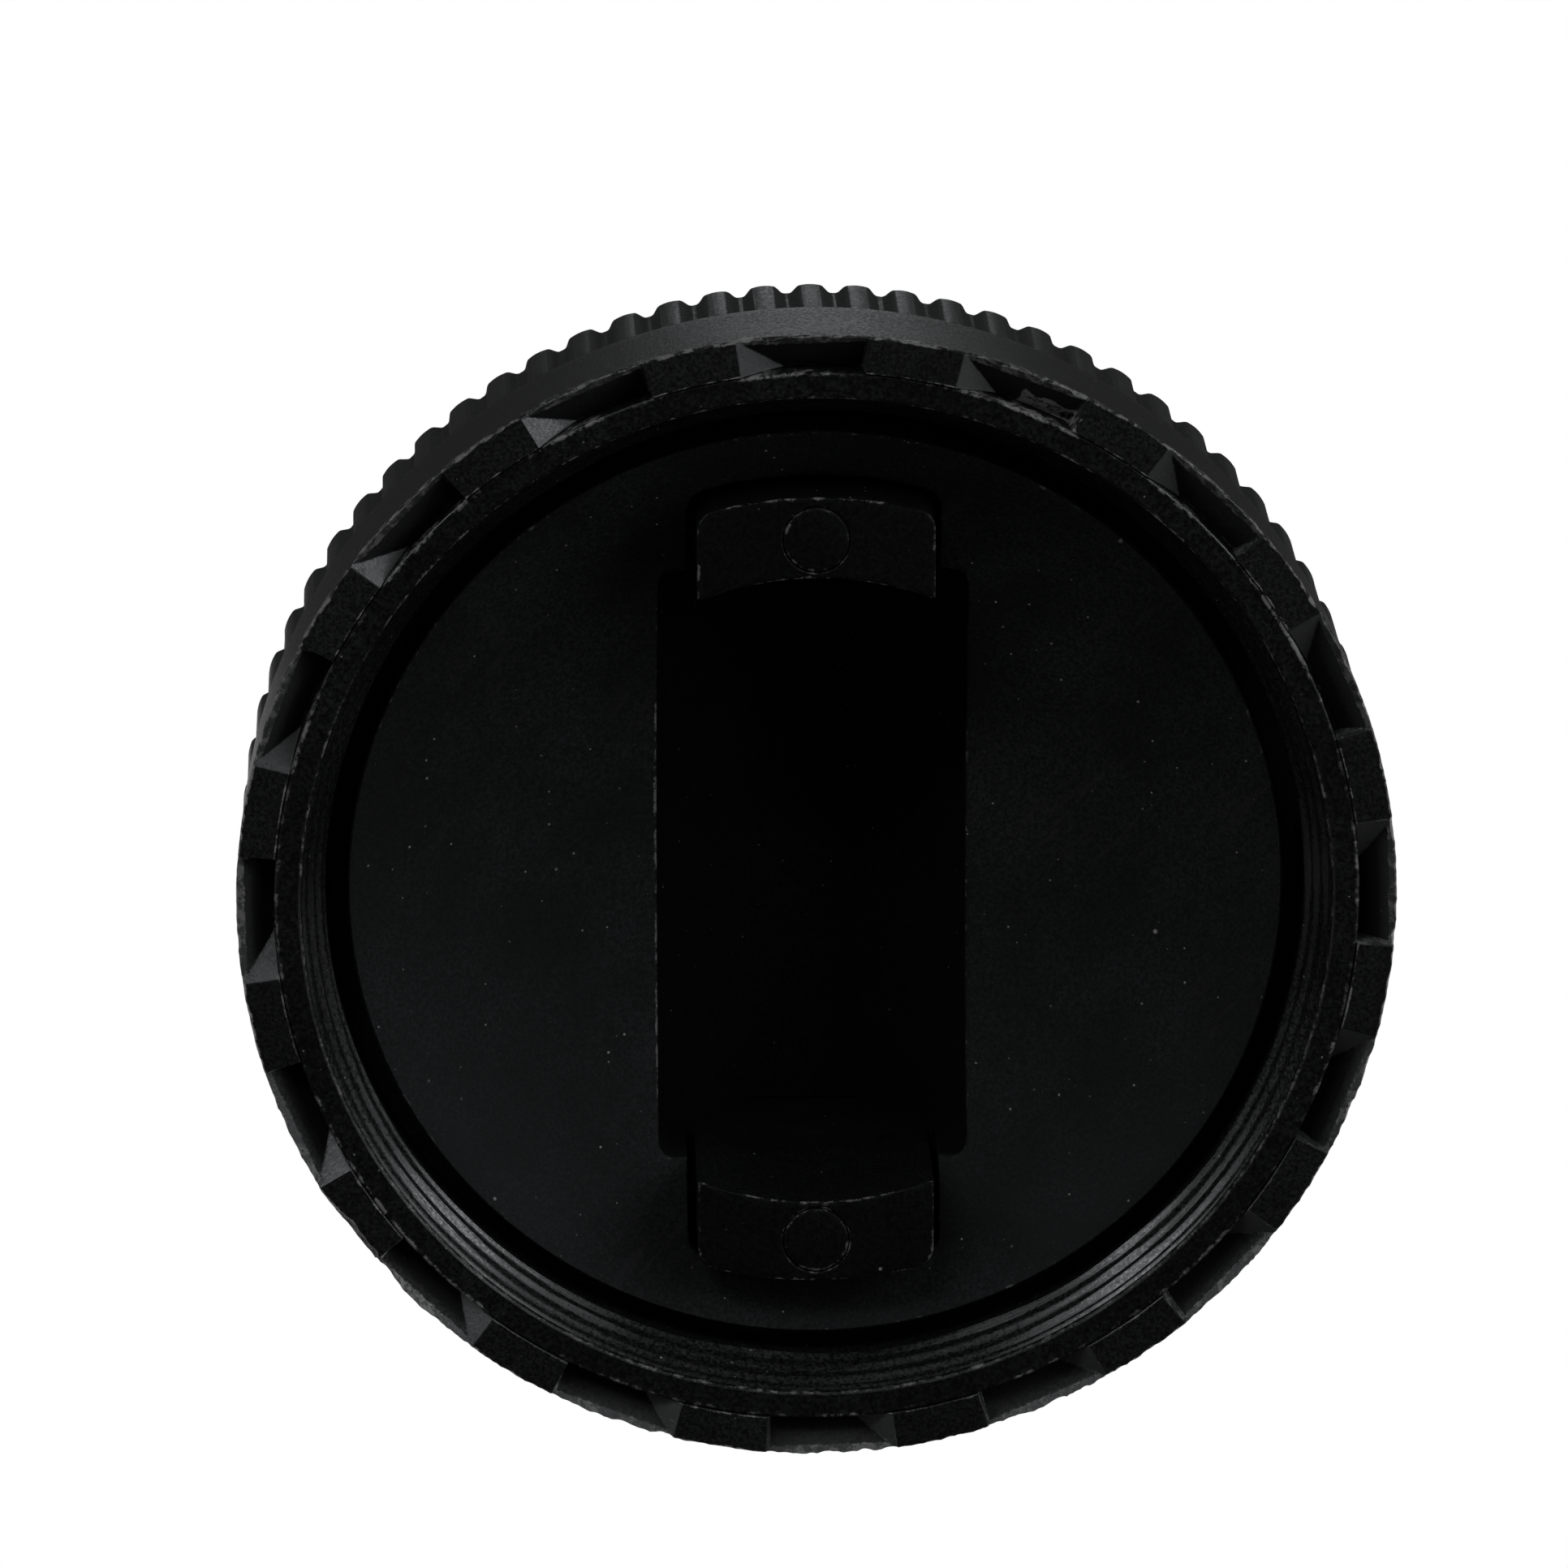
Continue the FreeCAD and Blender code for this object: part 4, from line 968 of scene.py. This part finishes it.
materials = {
    "ring_plastic": plastic("ring_plastic", colour=0.004, roughness=0.37, grain=1.5, film=0.018, dust=0.09,
                            wear_and_highlight=0.84, worn_colour=0.4, streaks=0.6, lines=0.6),
    "sleeve_plastic": plastic("sleeve_plastic", colour=0.004, roughness=0.31, grain=0.16, film=0.02,
                              dust=0.12, wear_and_highlight=0.86, worn_colour=0.36, lines=0.9),
    "dial_plastic": plastic("dial_plastic", colour=0.016, roughness=0.6, grain=0.5, film=0.045,
                            dust=0.14, scratch=0.42, wear_and_highlight=0.78, worn_colour=0.3, haze=0.6, specular=0.06),
    "shoe_plastic": plastic("shoe_plastic", colour=0.004, roughness=0.5, grain=0.4, film=0.01,
                            dust=0.08, wear_and_highlight=0.8, worn_colour=0.3, specular=0.14),
    "pin_plastic": plastic("pin_plastic", colour=0.004, roughness=0.48, grain=0.4, wear_and_highlight=0.8,
                           worn_colour=0.25, specular=0.14),
    "housing_plastic": plastic("housing_plastic", colour=0.009, roughness=0.46, grain=1.0, film=0.03,
                               dust=0.04, wear_and_highlight=0.6, edge_radius=0.25, thread_pitch=BARREL_THREAD_PITCH),
    "base_plastic": plastic("base_plastic", colour=0.013, roughness=0.55, grain=1.2, film=0.03,
                            dust=0.04, wear_and_highlight=0.55, edge_radius=0.3),
    "washer_nylon": soft("washer_nylon", (0.62, 0.6, 0.52), 0.5, 0.01, subsurface=0.15),
    "seal_rubber": soft("seal_rubber", (0.016, 0.016, 0.017), 0.8, 0.03),
    "stud_brass": metal("stud_brass", (0.78, 0.56, 0.26), (0.36, 0.24, 0.1), 0.3),
    "contact_silver": metal("contact_silver", (0.82, 0.8, 0.76), (0.45, 0.42, 0.36), 0.3),
    "bridge_copper": metal("bridge_copper", (0.82, 0.42, 0.27), (0.35, 0.16, 0.1), 0.32),
    "steel": metal("steel", (0.5, 0.5, 0.5), (0.34, 0.33, 0.32), 0.36),
    "nut_steel": metal("nut_steel", (0.52, 0.52, 0.51), (0.4, 0.39, 0.37), 0.4),
}

slot_of = {part["node"]: part["material_slot"] for part in frame["record"]["subparts"]}
body_of = {node: body for body, nodes in frame["record"]["behaviour"]["bodies"].items()
           for node in nodes}
for node_name, node_object in frame["nodes"].items():
    node_object.data.materials.clear()
    node_object.data.materials.append(materials[slot_of[node_name]])


# Pieces that stand for CAD nodes

def finished(piece, node):
    """Gives a piece its material, hangs it on its CAD node's body and hides that node."""
    piece.data.materials.clear()
    piece.data.materials.append(materials[slot_of[node]])
    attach(piece, body_of[node])
    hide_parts(node)


finished(loft("ring_detail", ring_columns(), ring_profile, sharp=15), "knurled_ring")
finished(loft("sleeve_detail", spread(0, 359.5, 0.5), sleeve_profile, sharp=24), "threaded_sleeve")
finished(loft("dial_detail", dial_columns(), dial_profile, closed=False), "dial")
for side, shoe_node in ((1, "shoe_upper"), (-1, "shoe_lower")):
    shoe = loft(shoe_node + "_detail", spread(0, 359, 1.0),
                lambda angle, side=side: shoe_profile(angle, side), centre=(0, side * PIN_CIRCLE_R))
    finished(shoe, shoe_node)
pins = [loft("pin", spread(0, 355, 5), pin_profile, closed=False, centre=(0, side * PIN_CIRCLE_R))
        for side in (-1, 1)]
finished(joined("pins_detail", pins), "shoe_pins")
for side, stud_node in ((-1, "stud_supply"), (1, "stud_load")):
    stud = loft(stud_node + "_detail", spread(0, 354, 6), stud_profile, closed=False,
                centre=(side * STUD_X, 0))
    finished(stud, stud_node)

# The springs: a copy of the CAD node's mesh, with mesh data of their own
springs = bpy.data.objects.new("springs_detail", frame["nodes"]["contact_springs"].data.copy())
bpy.context.scene.collection.objects.link(springs)
finished(springs, "contact_springs")
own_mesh(springs)


# Studio, in metres: the floor and the room look white, and are darker in what the switch mirrors

FLOOR_DROP = 0.09
FLOOR_HALF = 0.45
GLOW_BEHIND_FROM = 0.02
GLOW_BEHIND_TO = 0.11
GLOW_IN_FRONT = 0.02
GLOW_SIDE_FROM = 0.2
GLOW_SIDE_TO = 0.3
GLOW_AT_SIDE = 0.8

floor_mesh = bpy.data.meshes.new("floor")
floor_mesh.from_pydata([(-FLOOR_HALF, -FLOOR_HALF, 0), (FLOOR_HALF, -FLOOR_HALF, 0),
                        (FLOOR_HALF, FLOOR_HALF, 0), (-FLOOR_HALF, FLOOR_HALF, 0)], [], [(0, 1, 2, 3)])
floor = bpy.data.objects.new("floor", floor_mesh)
floor.location.z = -FLOOR_DROP
bpy.context.scene.collection.objects.link(floor)
floor_material, floor_tree, floor_shader = new_material("floor")
floor_shader.inputs["Base Color"].default_value = (0, 0, 0, 1)
floor_shader.inputs["Specular IOR Level"].default_value = 0
floor_shader.inputs["Emission Color"].default_value = (1, 1, 1, 1)
floor_place = add(floor_tree, "TexCoord", output=3)
behind = fade(floor_tree, add(floor_tree, "SeparateXYZ", {0: floor_place}, output=1),
              GLOW_BEHIND_FROM, GLOW_BEHIND_TO, GLOW_IN_FRONT, 1.0)
sideways = maths(floor_tree, "ABSOLUTE", add(floor_tree, "SeparateXYZ", {0: floor_place}))
beside = fade(floor_tree, sideways, GLOW_SIDE_FROM, GLOW_SIDE_TO, 0.0, GLOW_AT_SIDE)
floor_glow = maths(floor_tree, "MAXIMUM", behind, beside)
floor_seen = add(floor_tree, "Mix", {0: add(floor_tree, "LightPath"), 2: floor_glow, 3: 1.0})
floor_tree.links.new(floor_seen, floor_shader.inputs["Emission Strength"])
floor_mesh.materials.append(floor_material)

LIGHT_COLOUR = (0.95, 0.98, 1.0)
LIGHT_DISTANCE = 1.2
BACK_LIGHT_DISTANCE = 1.5


def softbox(name, direction, distance, width, height, radiance):
    """Rectangular light that faces the switch from a direction."""
    light = bpy.data.lights.new(name, "AREA")
    light.shape = "RECTANGLE"
    light.size = width
    light.size_y = height
    light.energy = radiance * math.pi * width * height
    light.color = LIGHT_COLOUR
    lamp = bpy.data.objects.new(name, light)
    lamp.location = Vector(direction).normalized() * distance
    lamp.rotation_euler = (-Vector(direction)).to_track_quat("-Z", "Y").to_euler()
    bpy.context.scene.collection.objects.link(lamp)
    return lamp


softbox("front_right", (0.77, -0.49, 0.41), LIGHT_DISTANCE, width=0.9, height=0.9, radiance=0.95)
softbox("front_left", (-0.335, -0.578, 0.742), LIGHT_DISTANCE, width=0.55, height=0.26, radiance=3.4)
for name, direction in (("side_right", (0.82, -0.25, 0.51)), ("side_left", (-0.74, -0.25, 0.62))):
    glint = softbox(name, direction, LIGHT_DISTANCE, width=0.45, height=0.45, radiance=9.5)
    glint.visible_diffuse = False
softbox("back", (0.03, 0.97, 0.24), BACK_LIGHT_DISTANCE, width=0.2, height=0.14, radiance=4.6)

ROOM_IN_FRONT = 0.02
ROOM_BEHIND = 0.05
world = bpy.data.worlds.new("studio")
bpy.context.scene.world = world
world.use_nodes = True
sky = world.node_tree
towards_back = add(sky, "SeparateXYZ", {0: add(sky, "TexCoord")}, output=1)
room = fade(sky, towards_back, -0.2, 1.0, ROOM_IN_FRONT, ROOM_BEHIND)
brightness = add(sky, "Mix", {0: add(sky, "LightPath"), 2: room, 3: 1.0})
sky.links.new(brightness, sky.nodes["Background"].inputs["Strength"])
sky.nodes["Background"].inputs["Color"].default_value = (1, 1, 1, 1)

# Camera: pitch, yaw and aim in degrees, distance in metres, lens in millimetres
PITCH = 15.75
YAW = 1.94
DISTANCE = 0.7809
LENS = 298.3
SENSOR = 36
AIM_LEFT = 0.148
AIM_UP = 0.519
FARTHEST_SEEN = 50

sin_yaw, cos_yaw = math.sin(math.radians(YAW)), math.cos(math.radians(YAW))
sin_pitch, cos_pitch = math.sin(math.radians(PITCH)), math.cos(math.radians(PITCH))
forward = Vector((sin_yaw * cos_pitch, cos_yaw * cos_pitch, -sin_pitch))
right = Vector((cos_yaw, -sin_yaw, 0))
up = right.cross(forward)
aim = forward - right * math.tan(math.radians(AIM_LEFT)) + up * math.tan(math.radians(AIM_UP))
camera = bpy.data.objects.new("camera", bpy.data.cameras.new("camera"))
camera.data.lens = LENS
camera.data.sensor_width = SENSOR
camera.data.clip_end = FARTHEST_SEEN
camera.location = Vector((0, RIM_Y, 0)) - forward * DISTANCE
camera.rotation_euler = aim.to_track_quat("-Z", "Y").to_euler()
bpy.context.scene.collection.objects.link(camera)
bpy.context.scene.camera = camera
bpy.context.scene.view_settings.view_transform = "Standard"
